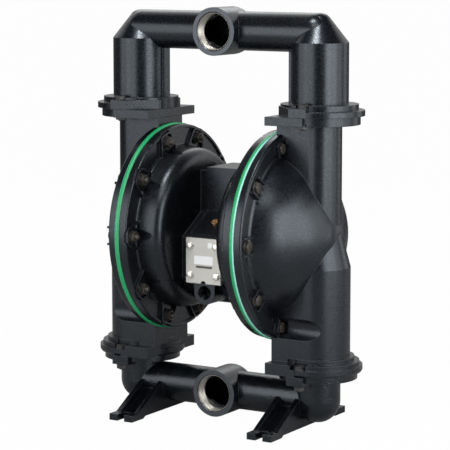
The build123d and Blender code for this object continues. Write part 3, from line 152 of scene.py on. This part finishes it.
# Pipe threads
THREAD_STEPS = 96
THREAD_ROWS_PER_PITCH = 6
THREAD_DEPTH = 0.55         # share of the pitch
THREAD_START = 0.0012       # behind the port's face
THREAD_WALL_GAP = 0.0001
THREAD_BACKING = 0.0003     # how far the sleeve reaches into the wall

# Labels on the cover plate: name, left, right, bottom, top, thickness, corner radius, material
LABELS = (
    ("blank_label", -0.0168, 0.0185, 0.2631, 0.2769, 0.0003, 0.0008, "label_white"),
    ("blank_square", 0.0085, 0.0172, 0.2902, 0.2989, 0.0003, 0.0008, "label_white"),
    ("dark_strip", -0.0136, 0.0166, 0.2572, 0.2607, 0.0002, 0.0015, "label_dark"),
)
LABEL_SUNK = 0.0002         # depth to which a label reaches into the plate, so that no gap shows

# Diaphragms
BEAD_X = (0.102, 0.110)
BEAD_R = (0.140, 0.1704)
BEAD_CORNER = 0.0034
# Painted highlight on the fluid side of the diaphragm rims: its X span, and the radius it starts at.
PAINTED_RIM_HIGHLIGHT_X = (0.1081, 0.1087)
PAINTED_RIM_HIGHLIGHT_FROM_R = 0.16
DISH_X = (0.092, 0.096)
DISH_BORE_R = 0.0085
DISH_R = 0.092
WEB_END_X = 0.108
WEB_LAP = 0.001             # how far the web reaches into the bead
WEB_STEPS = 10
SECTORS = 8                 # flexing part of each diaphragm
SECTOR_STEPS = 12

SIDES = (("left", -1), ("right", 1))
CORNERS = ((-1, -1), (1, -1), (-1, 1), (1, 1))


# Shader helpers

def material_nodes(name):
    """New node material: returns the material, its node tree's nodes, its links and the main shader."""
    material = bpy.data.materials.new(name)
    material.use_nodes = True
    nodes = material.node_tree.nodes
    return material, nodes, material.node_tree.links, nodes["Principled BSDF"]


def set_inputs(links, pairs):
    """Links each socket to its value, or sets the value if it is a plain one."""
    for socket, value in pairs:
        if isinstance(value, bpy.types.NodeSocket):
            links.new(value, socket)
        elif isinstance(value, tuple):
            socket.default_value = (*value, 1)
        else:
            socket.default_value = value


def math_node(nodes, links, operation, *values):
    node = nodes.new("ShaderNodeMath")
    node.operation = operation
    set_inputs(links, zip(node.inputs, values))
    return node.outputs[0]


def mix_colors(nodes, links, factor, first, second):
    node = nodes.new("ShaderNodeMix")
    node.data_type = "RGBA"
    set_inputs(links, ((node.inputs["Factor"], factor), (node.inputs[6], first), (node.inputs[7], second)))
    return node.outputs[2]


def noise(nodes, links, scale, detail=4.0, roughness=0.55):
    coordinates = nodes.new("ShaderNodeTexCoord")
    texture = nodes.new("ShaderNodeTexNoise")
    texture.inputs["Scale"].default_value = scale
    texture.inputs["Detail"].default_value = detail
    texture.inputs["Roughness"].default_value = roughness
    links.new(coordinates.outputs["Object"], texture.inputs["Vector"])
    return texture.outputs["Fac"]


def ramp(nodes, links, source, stops):
    """Ramp of grey values from (position, value) pairs."""
    node = nodes.new("ShaderNodeValToRGB")
    for element, (position, value) in zip(node.color_ramp.elements, stops):
        element.position = position
        element.color = (value, value, value, 1)
    links.new(source, node.inputs["Fac"])
    return node.outputs["Color"]


def rise(nodes, links, value, start, end):
    """0 up to start, 1 from end on."""
    node = nodes.new("ShaderNodeMapRange")
    node.inputs["From Min"].default_value = start
    node.inputs["From Max"].default_value = end
    links.new(value, node.inputs["Value"])
    return node.outputs["Result"]


def object_axes(nodes, links):
    """Outputs X, Y and Z of the shaded point in the object's own frame."""
    coordinates = nodes.new("ShaderNodeTexCoord")
    split = nodes.new("ShaderNodeSeparateXYZ")
    links.new(coordinates.outputs["Object"], split.inputs["Vector"])
    return split.outputs


def radius_about(nodes, links, across, height, axis_z):
    """Distance from a level axis at axis_z that runs at right angles to across."""
    above = math_node(nodes, links, "SUBTRACT", height, axis_z)
    square = math_node(nodes, links, "MULTIPLY", across, across)
    return math_node(nodes, links, "SQRT", math_node(nodes, links, "MULTIPLY_ADD", above, above, square))


def bump(nodes, links, height, distance, base=None):
    node = nodes.new("ShaderNodeBump")
    node.inputs["Distance"].default_value = distance
    node.inputs["Strength"].default_value = 1.0
    links.new(height, node.inputs["Height"])
    if base is not None:
        links.new(base, node.inputs["Normal"])
    return node.outputs["Normal"]


def rounded_edges(nodes, radius):
    node = nodes.new("ShaderNodeBevel")
    node.samples = 6
    node.inputs["Radius"].default_value = radius
    return node.outputs["Normal"]


def painted_edge_highlight(nodes, links, radius=0.0015):
    """Mask of a painted edge highlight: bright where an edge is sharp, from comparing the rounded normal with
    the true one.
    """
    geometry = nodes.new("ShaderNodeNewGeometry")
    dot = nodes.new("ShaderNodeVectorMath")
    dot.operation = "DOT_PRODUCT"
    links.new(rounded_edges(nodes, radius), dot.inputs[0])
    links.new(geometry.outputs["Normal"], dot.inputs[1])
    return ramp(nodes, links, dot.outputs["Value"], [(0.80, 1.0), (0.985, 0.0)])


# Materials

def port_masks(nodes, links, axis_z):
    """Masks of a port's machined face and of its bare bore."""
    x, y, z = object_axes(nodes, links)
    radius = radius_about(nodes, links, x, z, axis_z)
    in_boss = math_node(nodes, links, "LESS_THAN", radius, PORT_BOSS_R)
    at_face = math_node(nodes, links, "LESS_THAN", y, PORT_FACE_Y + PORT_MASK_MARGIN)
    in_wall = math_node(nodes, links, "LESS_THAN", radius, PORT_WALL_R + PORT_MASK_MARGIN)
    before_end = math_node(nodes, links, "LESS_THAN", y, PORT_BORE_END_Y)
    return (math_node(nodes, links, "MULTIPLY", in_boss, at_face),
            math_node(nodes, links, "MULTIPLY", in_wall, before_end))


def cast_paint(name, rough, grain_scale, grain_depth, port_axis_z=None):
    """Black paint over a casting: grain, soft mottling and edges lightened as a painted highlight. Ports show
    bare metal.
    """
    material, nodes, links, shader = material_nodes(name)
    dark, light = CAST_BLACK
    shader.inputs["Specular Tint"].default_value = (*PAINT_SHEEN_TINT, 1)
    mottle = noise(nodes, links, PAINT_MOTTLE_SCALE, detail=5.0)
    color = mix_colors(nodes, links, ramp(nodes, links, mottle, [(0.35, 0.0), (0.7, 1.0)]), dark, light)
    # Painted highlight: the colour turns lighter along sharp edges.
    edge_highlight_color = tuple(PAINTED_EDGE_HIGHLIGHT[0] * c + PAINTED_EDGE_HIGHLIGHT[1] for c in light)
    color = mix_colors(nodes, links, painted_edge_highlight(nodes, links), color, edge_highlight_color)
    if port_axis_z is not None:
        face, bore = port_masks(nodes, links, port_axis_z)
        color = mix_colors(nodes, links, face, color, PORT_FACE_GREY)
        color = mix_colors(nodes, links, bore, color, BARE_BORE)
        links.new(math_node(nodes, links, "MULTIPLY", bore, BARE_BORE_METALLIC), shader.inputs["Metallic"])
    links.new(color, shader.inputs["Base Color"])
    grain = noise(nodes, links, grain_scale, detail=3.0, roughness=0.65)
    patches = noise(nodes, links, grain_scale * 0.35, detail=2.0)
    gloss = ramp(nodes, links, patches, [(0.3, rough - 0.06), (0.7, rough + 0.07)])
    links.new(gloss, shader.inputs["Roughness"])
    rounded = rounded_edges(nodes, PAINT_EDGE_RADIUS)
    links.new(bump(nodes, links, grain, grain_depth, base=rounded), shader.inputs["Normal"])
    return material


def plain_surface(name, color, rough, metallic=0.0, variation=0.12, grain_scale=300.0, grain_depth=0.0001,
                  edge_radius=0.0006):
    """Simple rubber, plastic or metal with slight colour variation and a fine grain."""
    material, nodes, links, shader = material_nodes(name)
    tone = noise(nodes, links, 55.0)
    darker = tuple(c * (1 - variation) for c in color)
    lighter = tuple(min(1, c * (1 + variation)) for c in color)
    links.new(mix_colors(nodes, links, tone, darker, lighter), shader.inputs["Base Color"])
    shader.inputs["Metallic"].default_value = metallic
    grain = noise(nodes, links, grain_scale, detail=3.0)
    gloss = ramp(nodes, links, grain, [(0.3, rough - 0.05), (0.7, rough + 0.05)])
    links.new(gloss, shader.inputs["Roughness"])
    rounded = rounded_edges(nodes, edge_radius)
    links.new(bump(nodes, links, grain, grain_depth, base=rounded), shader.inputs["Normal"])
    return material


def diaphragm_material():
    """Green rubber with a painted highlight: a thin pale edge on the fluid side of its rim."""
    material, nodes, links, shader = material_nodes("diaphragm_green")
    x, y, z = object_axes(nodes, links)
    # Painted highlight: a thin pale band along the rim's fluid side.
    fluid_side = rise(nodes, links, math_node(nodes, links, "ABSOLUTE", x), *PAINTED_RIM_HIGHLIGHT_X)
    radius = radius_about(nodes, links, y, z, DIAPHRAGM_AXIS_Z)
    at_rim = math_node(nodes, links, "GREATER_THAN", radius, PAINTED_RIM_HIGHLIGHT_FROM_R)
    rim_highlight_mask = math_node(nodes, links, "MULTIPLY", fluid_side, at_rim)
    green = mix_colors(nodes, links, noise(nodes, links, 60.0), (0.006, 0.25, 0.085), (0.012, 0.32, 0.12))
    color = mix_colors(nodes, links, rim_highlight_mask, green, (0.27, 0.62, 0.53))
    links.new(color, shader.inputs["Base Color"])
    shader.inputs["Roughness"].default_value = 0.38
    grain = noise(nodes, links, 420.0)
    links.new(bump(nodes, links, grain, 0.00006), shader.inputs["Normal"])
    return material


def backdrop_material():
    """Near-white studio sweep that still takes the object's shadow."""
    material, nodes, links, shader = material_nodes("backdrop_white")
    shader.inputs["Base Color"].default_value = (BACKDROP_GREY, BACKDROP_GREY, BACKDROP_GREY, 1)
    shader.inputs["Roughness"].default_value = 0.9
    rays = nodes.new("ShaderNodeLightPath").outputs
    position = nodes.new("ShaderNodeNewGeometry")
    split = nodes.new("ShaderNodeSeparateXYZ")
    links.new(position.outputs["Position"], split.inputs["Vector"])
    high = rise(nodes, links, split.outputs["Z"], 0.0, REFLECTED_FROM_Z)
    mirrored = math_node(nodes, links, "MULTIPLY", rays["Is Glossy Ray"], high)
    seen = math_node(nodes, links, "MAXIMUM", rays["Is Camera Ray"], rays["Is Transmission Ray"])
    either = math_node(nodes, links, "MAXIMUM", seen, mirrored)
    share = math_node(nodes, links, "MULTIPLY", either, CAMERA_GLOW)
    glow = nodes.new("ShaderNodeEmission")
    glow.inputs["Strength"].default_value = 1.0
    blend = nodes.new("ShaderNodeMixShader")
    links.new(share, blend.inputs["Fac"])
    links.new(shader.outputs["BSDF"], blend.inputs[1])
    links.new(glow.outputs["Emission"], blend.inputs[2])
    links.new(blend.outputs["Shader"], nodes["Material Output"].inputs["Surface"])
    return material


def make_materials():
    """One material for each slot of the record, and a few more for details."""
    made = [
        cast_paint("casting_black", 0.31, 900.0, 0.00003),
        cast_paint("outlet_casting", 0.28, 900.0, 0.00003, port_axis_z=PORT_AXES_Z["outlet"]),
        cast_paint("casting_gloss_black", 0.21, 260.0, 0.0005, port_axis_z=PORT_AXES_Z["inlet"]),
        diaphragm_material(),
        plain_surface("gasket", (0.02, 0.02, 0.022), 0.8),
        plain_surface("seal_rubber", (0.015, 0.015, 0.015), 0.6),
        plain_surface("ball_rubber", (0.03, 0.2, 0.1), 0.4),
        plain_surface("seat_plastic", (0.6, 0.58, 0.5), 0.5),
        plain_surface("fastener_zinc", (0.055, 0.050, 0.043), 0.42, metallic=0.6, variation=0.35,
                      grain_scale=700.0, grain_depth=0.00008, edge_radius=0.0004),
        plain_surface("fastener_black", (0.022, 0.022, 0.022), 0.4, metallic=0.2, variation=0.3,
                      grain_scale=700.0, grain_depth=0.00006, edge_radius=0.0004),
        plain_surface("rod_steel", (0.6, 0.6, 0.6), 0.25, metallic=1.0),
        plain_surface("cover_aluminium", (0.50, 0.495, 0.46), 0.5, metallic=0.5, variation=0.06,
                      grain_scale=1400.0, grain_depth=0.00006),
        plain_surface("bore_aluminium", (0.42, 0.405, 0.365), 0.38, metallic=0.8, variation=0.10,
                      grain_scale=600.0, grain_depth=0.00005),
        plain_surface("screw_bright", (0.72, 0.70, 0.63), 0.3, metallic=0.9),
        plain_surface("bushing_plastic", (0.7, 0.66, 0.55), 0.5),
        plain_surface("brass", (0.72, 0.42, 0.2), 0.3, metallic=0.9),
        plain_surface("muffler_plastic", (0.03, 0.03, 0.03), 0.55),
        plain_surface("label_white", (0.8, 0.81, 0.82), 0.4, variation=0.03),
        plain_surface("label_dark", (0.06, 0.06, 0.055), 0.5),
        backdrop_material(),
    ]
    # A name that is already taken gets a number behind a dot.
    return {material.name.split(".")[0]: material for material in made}


# Setting

def place_camera():
    azimuth = math.radians(CAMERA_AZIMUTH)
    elevation = math.radians(CAMERA_ELEVATION)
    back = Vector((math.sin(azimuth) * math.cos(elevation), -math.cos(azimuth) * math.cos(elevation),
                   math.sin(elevation)))
    data = bpy.data.cameras.new("camera")
    data.lens = CAMERA_LENS
    data.sensor_width = 36.0
    data.sensor_fit = "HORIZONTAL"
    data.shift_x, data.shift_y = CAMERA_SHIFT
    data.clip_end = 50.0
    camera = bpy.data.objects.new("camera", data)
    camera.location = Vector(CAMERA_TARGET) + back * CAMERA_DISTANCE
    camera.rotation_euler = (-back).to_track_quat("-Z", "Y").to_euler()
    bpy.context.scene.collection.objects.link(camera)
    bpy.context.scene.camera = camera


def softbox(name, azimuth, height, distance, width, length, power):
    """Area lamp that faces the object's middle."""
    turn = math.radians(CAMERA_AZIMUTH + azimuth)
    data = bpy.data.lights.new(name, "AREA")
    data.shape = "RECTANGLE"
    data.size = width
    data.size_y = length
    data.energy = power
    light = bpy.data.objects.new(name, data)
    light.location = (distance * math.sin(turn), -distance * math.cos(turn), height)
    aim = Vector((0, 0, LAMP_TARGET_Z)) - light.location
    light.rotation_euler = aim.to_track_quat("-Z", "Y").to_euler()
    bpy.context.scene.collection.objects.link(light)


def backdrop(material):
    """Floor that bends up into a wall behind the object."""
    wall_y = BACKDROP_SIZE / 2
    profile = [(-BACKDROP_SIZE, 0.0), (wall_y - BACKDROP_BEND, 0.0)]
    for i in range(1, BACKDROP_STEPS + 1):
        angle = math.pi / 2 * i / BACKDROP_STEPS
        profile.append((wall_y - BACKDROP_BEND + BACKDROP_BEND * math.sin(angle),
                        BACKDROP_BEND - BACKDROP_BEND * math.cos(angle)))
    profile.append((wall_y, BACKDROP_SIZE))
    vertices = [(x, y, z - 0.0001) for y, z in profile for x in (-BACKDROP_SIZE, BACKDROP_SIZE)]
    faces = [(2 * i, 2 * i + 1, 2 * i + 3, 2 * i + 2) for i in range(len(profile) - 1)]
    mesh = bpy.data.meshes.new("studio_floor")
    mesh.from_pydata(vertices, [], faces)
    mesh.materials.append(material)
    for polygon in mesh.polygons:
        polygon.use_smooth = True
    floor = bpy.data.objects.new("studio_floor", mesh)
    floor.rotation_euler = (0, 0, math.radians(CAMERA_AZIMUTH))
    bpy.context.scene.collection.objects.link(floor)


def white_world():
    """World that is white to the camera and lights the object only a little."""
    world = bpy.data.worlds.new("world")
    world.use_nodes = True
    bpy.context.scene.world = world
    nodes = world.node_tree.nodes
    links = world.node_tree.links
    background = nodes["Background"]
    background.inputs["Color"].default_value = (1, 1, 1, 1)
    rays = nodes.new("ShaderNodeLightPath")
    strength = nodes.new("ShaderNodeMapRange")
    strength.inputs["To Min"].default_value = WORLD_STRENGTH
    strength.inputs["To Max"].default_value = 1.0
    links.new(rays.outputs["Is Camera Ray"], strength.inputs["Value"])
    links.new(strength.outputs["Result"], background.inputs["Strength"])


def studio(materials):
    backdrop(materials["backdrop_white"])
    white_world()
    for azimuth, power in SIDE_BOXES:
        softbox(f"side_box_{azimuth}", azimuth, SIDE_BOX_HEIGHT, SIDE_BOX_DISTANCE, *SIDE_BOX_SIZE, power)
    for box in OTHER_BOXES:
        softbox(*box)


# Meshes, as (vertices, faces)

def circle(count):
    return [2 * math.pi * i / count for i in range(count)]


def band_faces(count, low_ring, high_ring):
    """Faces between two rings of count vertices each."""
    low, high = low_ring * count, high_ring * count
    return [(low + i, low + (i + 1) % count, high + (i + 1) % count, high + i) for i in range(count)]


def lofted(rings):
    """Closed skin over rings of equal length."""
    count = len(rings[0])
    vertices = [point for ring in rings for point in ring]
    faces = [face for r in range(len(rings) - 1) for face in band_faces(count, r, r + 1)]
    faces.append(tuple(reversed(range(count))))
    start = (len(rings) - 1) * count
    faces.append(tuple(start + i for i in range(count)))
    return vertices, faces


def ring_solid(rings):
    """Skin over rings that close on themselves, such as a nut with its hole."""
    count = len(rings[0])
    vertices = [point for ring in rings for point in ring]
    faces = [face for r in range(len(rings)) for face in band_faces(count, r, (r + 1) % len(rings))]
    return vertices, faces


def hex_radius(angle, apothem):
    sector = math.pi / 3
    return apothem / math.cos((angle + sector / 2) % sector - sector / 2)


def hex_rings(apothem, thick, base_z, both=False):
    """Rings of a hexagon that stands on base_z, its corners chamfered on top and, if both, below too."""
    flat_r = apothem * CORNER_CHAMFER_R
    slope = math.tan(math.radians(CORNER_CHAMFER_DEGREES))
    flat, low, high = [], [], []
    for angle in circle(HEX_STEPS):
        radius = hex_radius(angle, apothem)
        drop = (radius - flat_r) * slope
        x, y = math.cos(angle), math.sin(angle)
        flat.append((flat_r * x, flat_r * y))
        low.append((radius * x, radius * y, (drop if both else 0.0) + base_z))
        high.append((radius * x, radius * y, thick - drop + base_z))
    top = [(x, y, thick + base_z) for x, y in flat]
    bottom = [[(x, y, base_z) for x, y in flat]] if both else []
    return bottom + [low, high, top]


def round_rings(profile, steps=40):
    return [[(r * math.cos(a), r * math.sin(a), z) for a in circle(steps)] for r, z in profile]


def placed(parts, location, direction, spin=0.0):
    """Moves (vertices, faces) so that their Z points along direction."""
    turn = Vector(direction).to_track_quat("Z", "Y").to_matrix().to_4x4()
    matrix = Matrix.Translation(location) @ turn @ Matrix.Rotation(spin, 4, "Z")
    vertices, faces = parts
    return [tuple(matrix @ Vector(v)) for v in vertices], faces


def joined(groups):
    vertices = []
    faces = []
    for part_vertices, part_faces in groups:
        base = len(vertices)
        vertices += part_vertices
        faces += [tuple(base + i for i in face) for face in part_faces]
    return vertices, faces


def new_piece(name, vertices, faces, material, body, smooth_angle=35.0):
    mesh = bpy.data.meshes.new(name)
    mesh.from_pydata(vertices, [], faces)
    mesh.validate()
    mesh.update()
    piece = bpy.data.objects.new(name, mesh)
    bpy.context.scene.collection.objects.link(piece)
    mesh.materials.append(material)
    for polygon in mesh.polygons:
        polygon.use_smooth = True
    mesh.set_sharp_from_angle(angle=math.radians(smooth_angle))
    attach(piece, body)
    return piece


def detail(name, groups, material, slot, node, body="housing"):
    """Piece that takes the place of a CAD node."""
    piece = new_piece(name, *joined(groups), material, body)
    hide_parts(node)


# Fasteners

def bolt_head(apothem, thick, washer_r):
    washer = lofted(round_rings([(washer_r * share, z) for share, z in HEAD_WASHER]))
    return joined([washer, lofted(hex_rings(apothem, thick - HEAD_BASE_Z, HEAD_BASE_Z))])


def nut(apothem, thick, washer_r):
    flare, depth = NUT_BORE_CHAMFER
    hole = round_rings([(NUT_BORE_R * flare, thick), (NUT_BORE_R, thick - depth), (NUT_BORE_R, NUT_BASE_Z)],
                       steps=HEX_STEPS)
    outer = hex_rings(apothem, thick - NUT_BASE_Z, NUT_BASE_Z, both=True)
    washer = [(washer_r * share, z) for share, z in NUT_WASHER]
    washer += [(NUT_BORE_R, washer[-1][1]), (NUT_BORE_R, 0.0)]
    return joined([ring_solid(outer + hole), ring_solid(round_rings(washer))])


def stud_profile(radius, start, end):
    """Outline (radius, z) of a threaded stud end with a small point."""
    root = radius * STUD_ROOT
    points = [(root, start)]
    z = start
    while z + STUD_PITCH < end - 0.001:
        points += [(r, z + STUD_PITCH * share) for r, share in ((root, 0.15), (radius, 0.5), (root, 0.85))]
        z += STUD_PITCH
    return points + [(radius * share, end - before) for share, before in STUD_POINT]


def shank(radius, length, threaded):
    plain = [(radius, -SHANK_SUNK), (radius, length - threaded)]
    return lofted(round_rings(plain + stud_profile(radius, length - threaded, length), steps=32))


def rim_fasteners(materials):
    """Hex bolts with washer faces on the fluid side, nuts and stud ends on the air side."""
    metal = materials["fastener_zinc"]
    for side, sign in SIDES:
        bolts = []
        nuts = []
        for index in range(RIM_BOLT_COUNT):
            angle = 2 * math.pi * index / RIM_BOLT_COUNT
            y = -RIM_BOLT_CIRCLE_R * math.cos(angle)
            z = DIAPHRAGM_AXIS_Z + RIM_BOLT_CIRCLE_R * math.sin(angle)
            spin = RIM_SPIN * index + (RIM_SPIN_RIGHT if sign > 0 else 0.0)
            head_place = (sign * RIM_HEAD_X, y, z)
            bolts.append(placed(bolt_head(*RIM_HEAD), head_place, (sign, 0, 0), spin))
            bolts.append(placed(shank(STUD_R, RIM_HEAD_X - RIM_STUD_END_X, RIM_THREADED), head_place,
                                (-sign, 0, 0), spin))
            nuts.append(placed(nut(*RIM_NUT), (sign * RIM_NUT_X, y, z), (-sign, 0, 0), 1.7 * spin))
        detail(f"rim_bolts_{side}_detail", bolts, metal, "fastener_zinc", f"rim_bolts_{side}")
        detail(f"rim_nuts_{side}_detail", nuts, metal, "fastener_zinc", f"rim_nuts_{side}")


def joint_fasteners(materials):
    """Bolts from above and nuts below, through the flanges of both manifolds."""
    metal = materials["fastener_black"]
    for joint, place in (("outlet", TOP_BOLTS), ("inlet", BOTTOM_BOLTS)):
        bolts = []
        nuts = []
        for index, (sx, sy) in enumerate(CORNERS):
            x, y = sx * place["x"], sy * place["y"]
            spin = JOINT_SPIN[0] + JOINT_SPIN[1] * index
            length = place["head_z"] - place["end_z"]
            head_place = (x, y, place["head_z"])
            bolts.append(placed(bolt_head(*JOINT_HEAD), head_place, (0, 0, 1), spin))
            bolts.append(placed(shank(STUD_R, length, JOINT_THREADED), head_place, (0, 0, -1), spin))
            nuts.append(placed(nut(*JOINT_NUT), (x, y, place["nut_z"]), (0, 0, -1), 2 * spin))
        detail(f"{joint}_joint_bolts_detail", bolts, metal, "fastener_zinc", f"{joint}_joint_bolts")
        detail(f"{joint}_joint_nuts_detail", nuts, metal, "fastener_zinc", f"{joint}_joint_nuts")


def cover_screws(materials):
    screws = []
    for index, (sx, sz) in enumerate(CORNERS):
        place = (sx * PLATE_SCREWS["x"], PLATE_FACE_Y, PLATE_SCREWS["middle_z"] + sz * PLATE_SCREWS["z"])
        spin = PLATE_SPIN[0] + PLATE_SPIN[1] * index
        screws.append(placed(bolt_head(*PLATE_HEAD), place, (0, -1, 0), spin))
        screws.append(placed(shank(PLATE_SCREW_R, PLATE_SCREWS["depth"], PLATE_THREADED), place, (0, 1, 0)))
    metal = materials["screw_bright"]
    detail("valve_cover_screws_detail", screws, metal, "screw_bright", "valve_cover_screws")


# Threads and labels

def pipe_thread(name, axis_z, face_y, wall_r, length, pitch, material):
    """Threaded sleeve surface inside a bore: helical ridges that point inwards from the wall."""
    rows = int(length / pitch * THREAD_ROWS_PER_PITCH)
    depth = pitch * THREAD_DEPTH
    start_y = face_y + THREAD_START
    outer_r = wall_r + THREAD_BACKING
    rings = []
    for row in range(rows + 1):
        along = length * row / rows
        fade = min(1.0, along / (1.5 * pitch), (length - along) / pitch + 0.05)
        ring = []
        for i, angle in enumerate(circle(THREAD_STEPS)):
            phase = (along / pitch + i / THREAD_STEPS) % 1.0
            ridge = 1 - abs(2 * phase - 1)
            radius = wall_r - THREAD_WALL_GAP - depth * ridge * fade
            ring.append((radius * math.cos(angle), start_y + along, axis_z + radius * math.sin(angle)))
        rings.append(ring)
    for y in (start_y + length, start_y):
        rings.append([(outer_r * math.cos(angle), y, axis_z + outer_r * math.sin(angle))
                      for angle in circle(THREAD_STEPS)])
    piece = new_piece(name, *ring_solid(rings), material, "housing", smooth_angle=50.0)


def port_threads(materials):
    for port, axis_z in PORT_AXES_Z.items():
        pipe_thread(f"{port}_port_thread", axis_z, PORT_FACE_Y, PORT_WALL_R, PORT_THREAD_LENGTH,
                    PORT_THREAD_PITCH, materials["bore_aluminium"])
    pipe_thread("air_inlet_thread", AIR_INLET_Z, AIR_INLET_FACE_Y, AIR_INLET_WALL_R, AIR_INLET_THREAD_LENGTH,
                AIR_INLET_THREAD_PITCH, materials["casting_black"])


def label(name, x0, x1, z0, z1, thick, corner, material):
    """Flat rounded label on the cover plate's face."""
    steps = 6
    outline = []
    for cx, cz, start in ((x1 - corner, z1 - corner, 0), (x0 + corner, z1 - corner, 90),
                          (x0 + corner, z0 + corner, 180), (x1 - corner, z0 + corner, 270)):
        for i in range(steps + 1):
            angle = math.radians(start + 90 * i / steps)
            outline.append((cx + corner * math.cos(angle), cz + corner * math.sin(angle)))
    rings = [[(x, y, z) for x, z in outline] for y in (PLATE_FACE_Y + LABEL_SUNK, PLATE_FACE_Y - thick)]
    piece = new_piece(name, *lofted(rings), material, "housing")


# Diaphragms

def turned_ring(outline, sign, start=0.0, end=360.0, steps=120):
    """Closed ring, or a closed sector of one, about the diaphragm axis from (x, radius) points."""
    whole = end - start >= 360.0
    count = steps if whole else steps + 1
    rings = []
    for i in range(count):
        angle = math.radians(start + (end - start) * i / steps)
        rings.append([(sign * x, -r * math.cos(angle), DIAPHRAGM_AXIS_Z + r * math.sin(angle))
                      for x, r in outline])
    return ring_solid(rings) if whole else lofted(rings)


def bead_outline():
    (x0, x1), (r0, r1) = BEAD_X, BEAD_R
    corner = BEAD_CORNER
    points = [(x0, r0), (x1, r0)]
    for cx, start in ((x1 - corner, 0), (x0 + corner, 90)):
        for i in range(7):
            angle = math.radians(start + 15 * i)
            points.append((cx + corner * math.cos(angle), r1 - corner + corner * math.sin(angle)))
    return points


def web_outline():
    """Flexing part between the centre disc and the bead."""
    (x0, r0), (x1, r1) = (DISH_X[1], DISH_R), (WEB_END_X, BEAD_R[0] + WEB_LAP)
    face = [(x0 + (x1 - x0) * i / WEB_STEPS, r0 + (r1 - r0) * i / WEB_STEPS) for i in range(WEB_STEPS + 1)]
    thick = DISH_X[1] - DISH_X[0]
    return face + [(x - thick, r) for x, r in reversed(face)]


def flexing_sector(side, sign, index, rubber):
    start = 360 / SECTORS * index
    vertices, faces = turned_ring(web_outline(), sign, start, start + 360 / SECTORS, steps=SECTOR_STEPS)
    mesh = bpy.data.meshes.new(f"diaphragm_flex_{side}_{index}")
    mesh.from_pydata(vertices, [], faces)
    mesh.materials.append(rubber)
    piece = bpy.data.objects.new(mesh.name, mesh)
    bpy.context.scene.collection.objects.link(piece)
    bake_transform(piece)
    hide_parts(f"diaphragm_{side}")


def diaphragms(materials):
    """Bead fixed in the caps, centre disc on the rod, and between them sectors of the flexing web."""
    rubber = materials["diaphragm_green"]
    centre = [(DISH_X[0], DISH_BORE_R), (DISH_X[1], DISH_BORE_R), (DISH_X[1], DISH_R), (DISH_X[0], DISH_R)]
    for side, sign in SIDES:
        node = f"diaphragm_{side}"
        detail(f"diaphragm_bead_{side}", [turned_ring(bead_outline(), sign)], rubber, "diaphragm_green", node)
        detail(f"diaphragm_centre_{side}", [turned_ring(centre, sign, steps=72)], rubber, "diaphragm_green",
               node, body="rod_assembly")
        for index in range(SECTORS):
            flexing_sector(side, sign, index, rubber)


def paint_nodes(frame, materials):
    slots = {entry["node"]: entry["material_slot"] for entry in frame["record"]["subparts"]}
    for node, piece in frame["nodes"].items():
        material = materials["outlet_casting" if node == "outlet_manifold" else slots[node]]
        piece.data.materials.clear()
        piece.data.materials.append(material)


def main():
    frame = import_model()
    bpy.context.scene.view_settings.view_transform = "Standard"
    place_camera()
    materials = make_materials()
    studio(materials)
    paint_nodes(frame, materials)
    rim_fasteners(materials)
    joint_fasteners(materials)
    cover_screws(materials)
    port_threads(materials)
    for *shape, material in LABELS:
        label(*shape, materials[material])
    diaphragms(materials)


main()
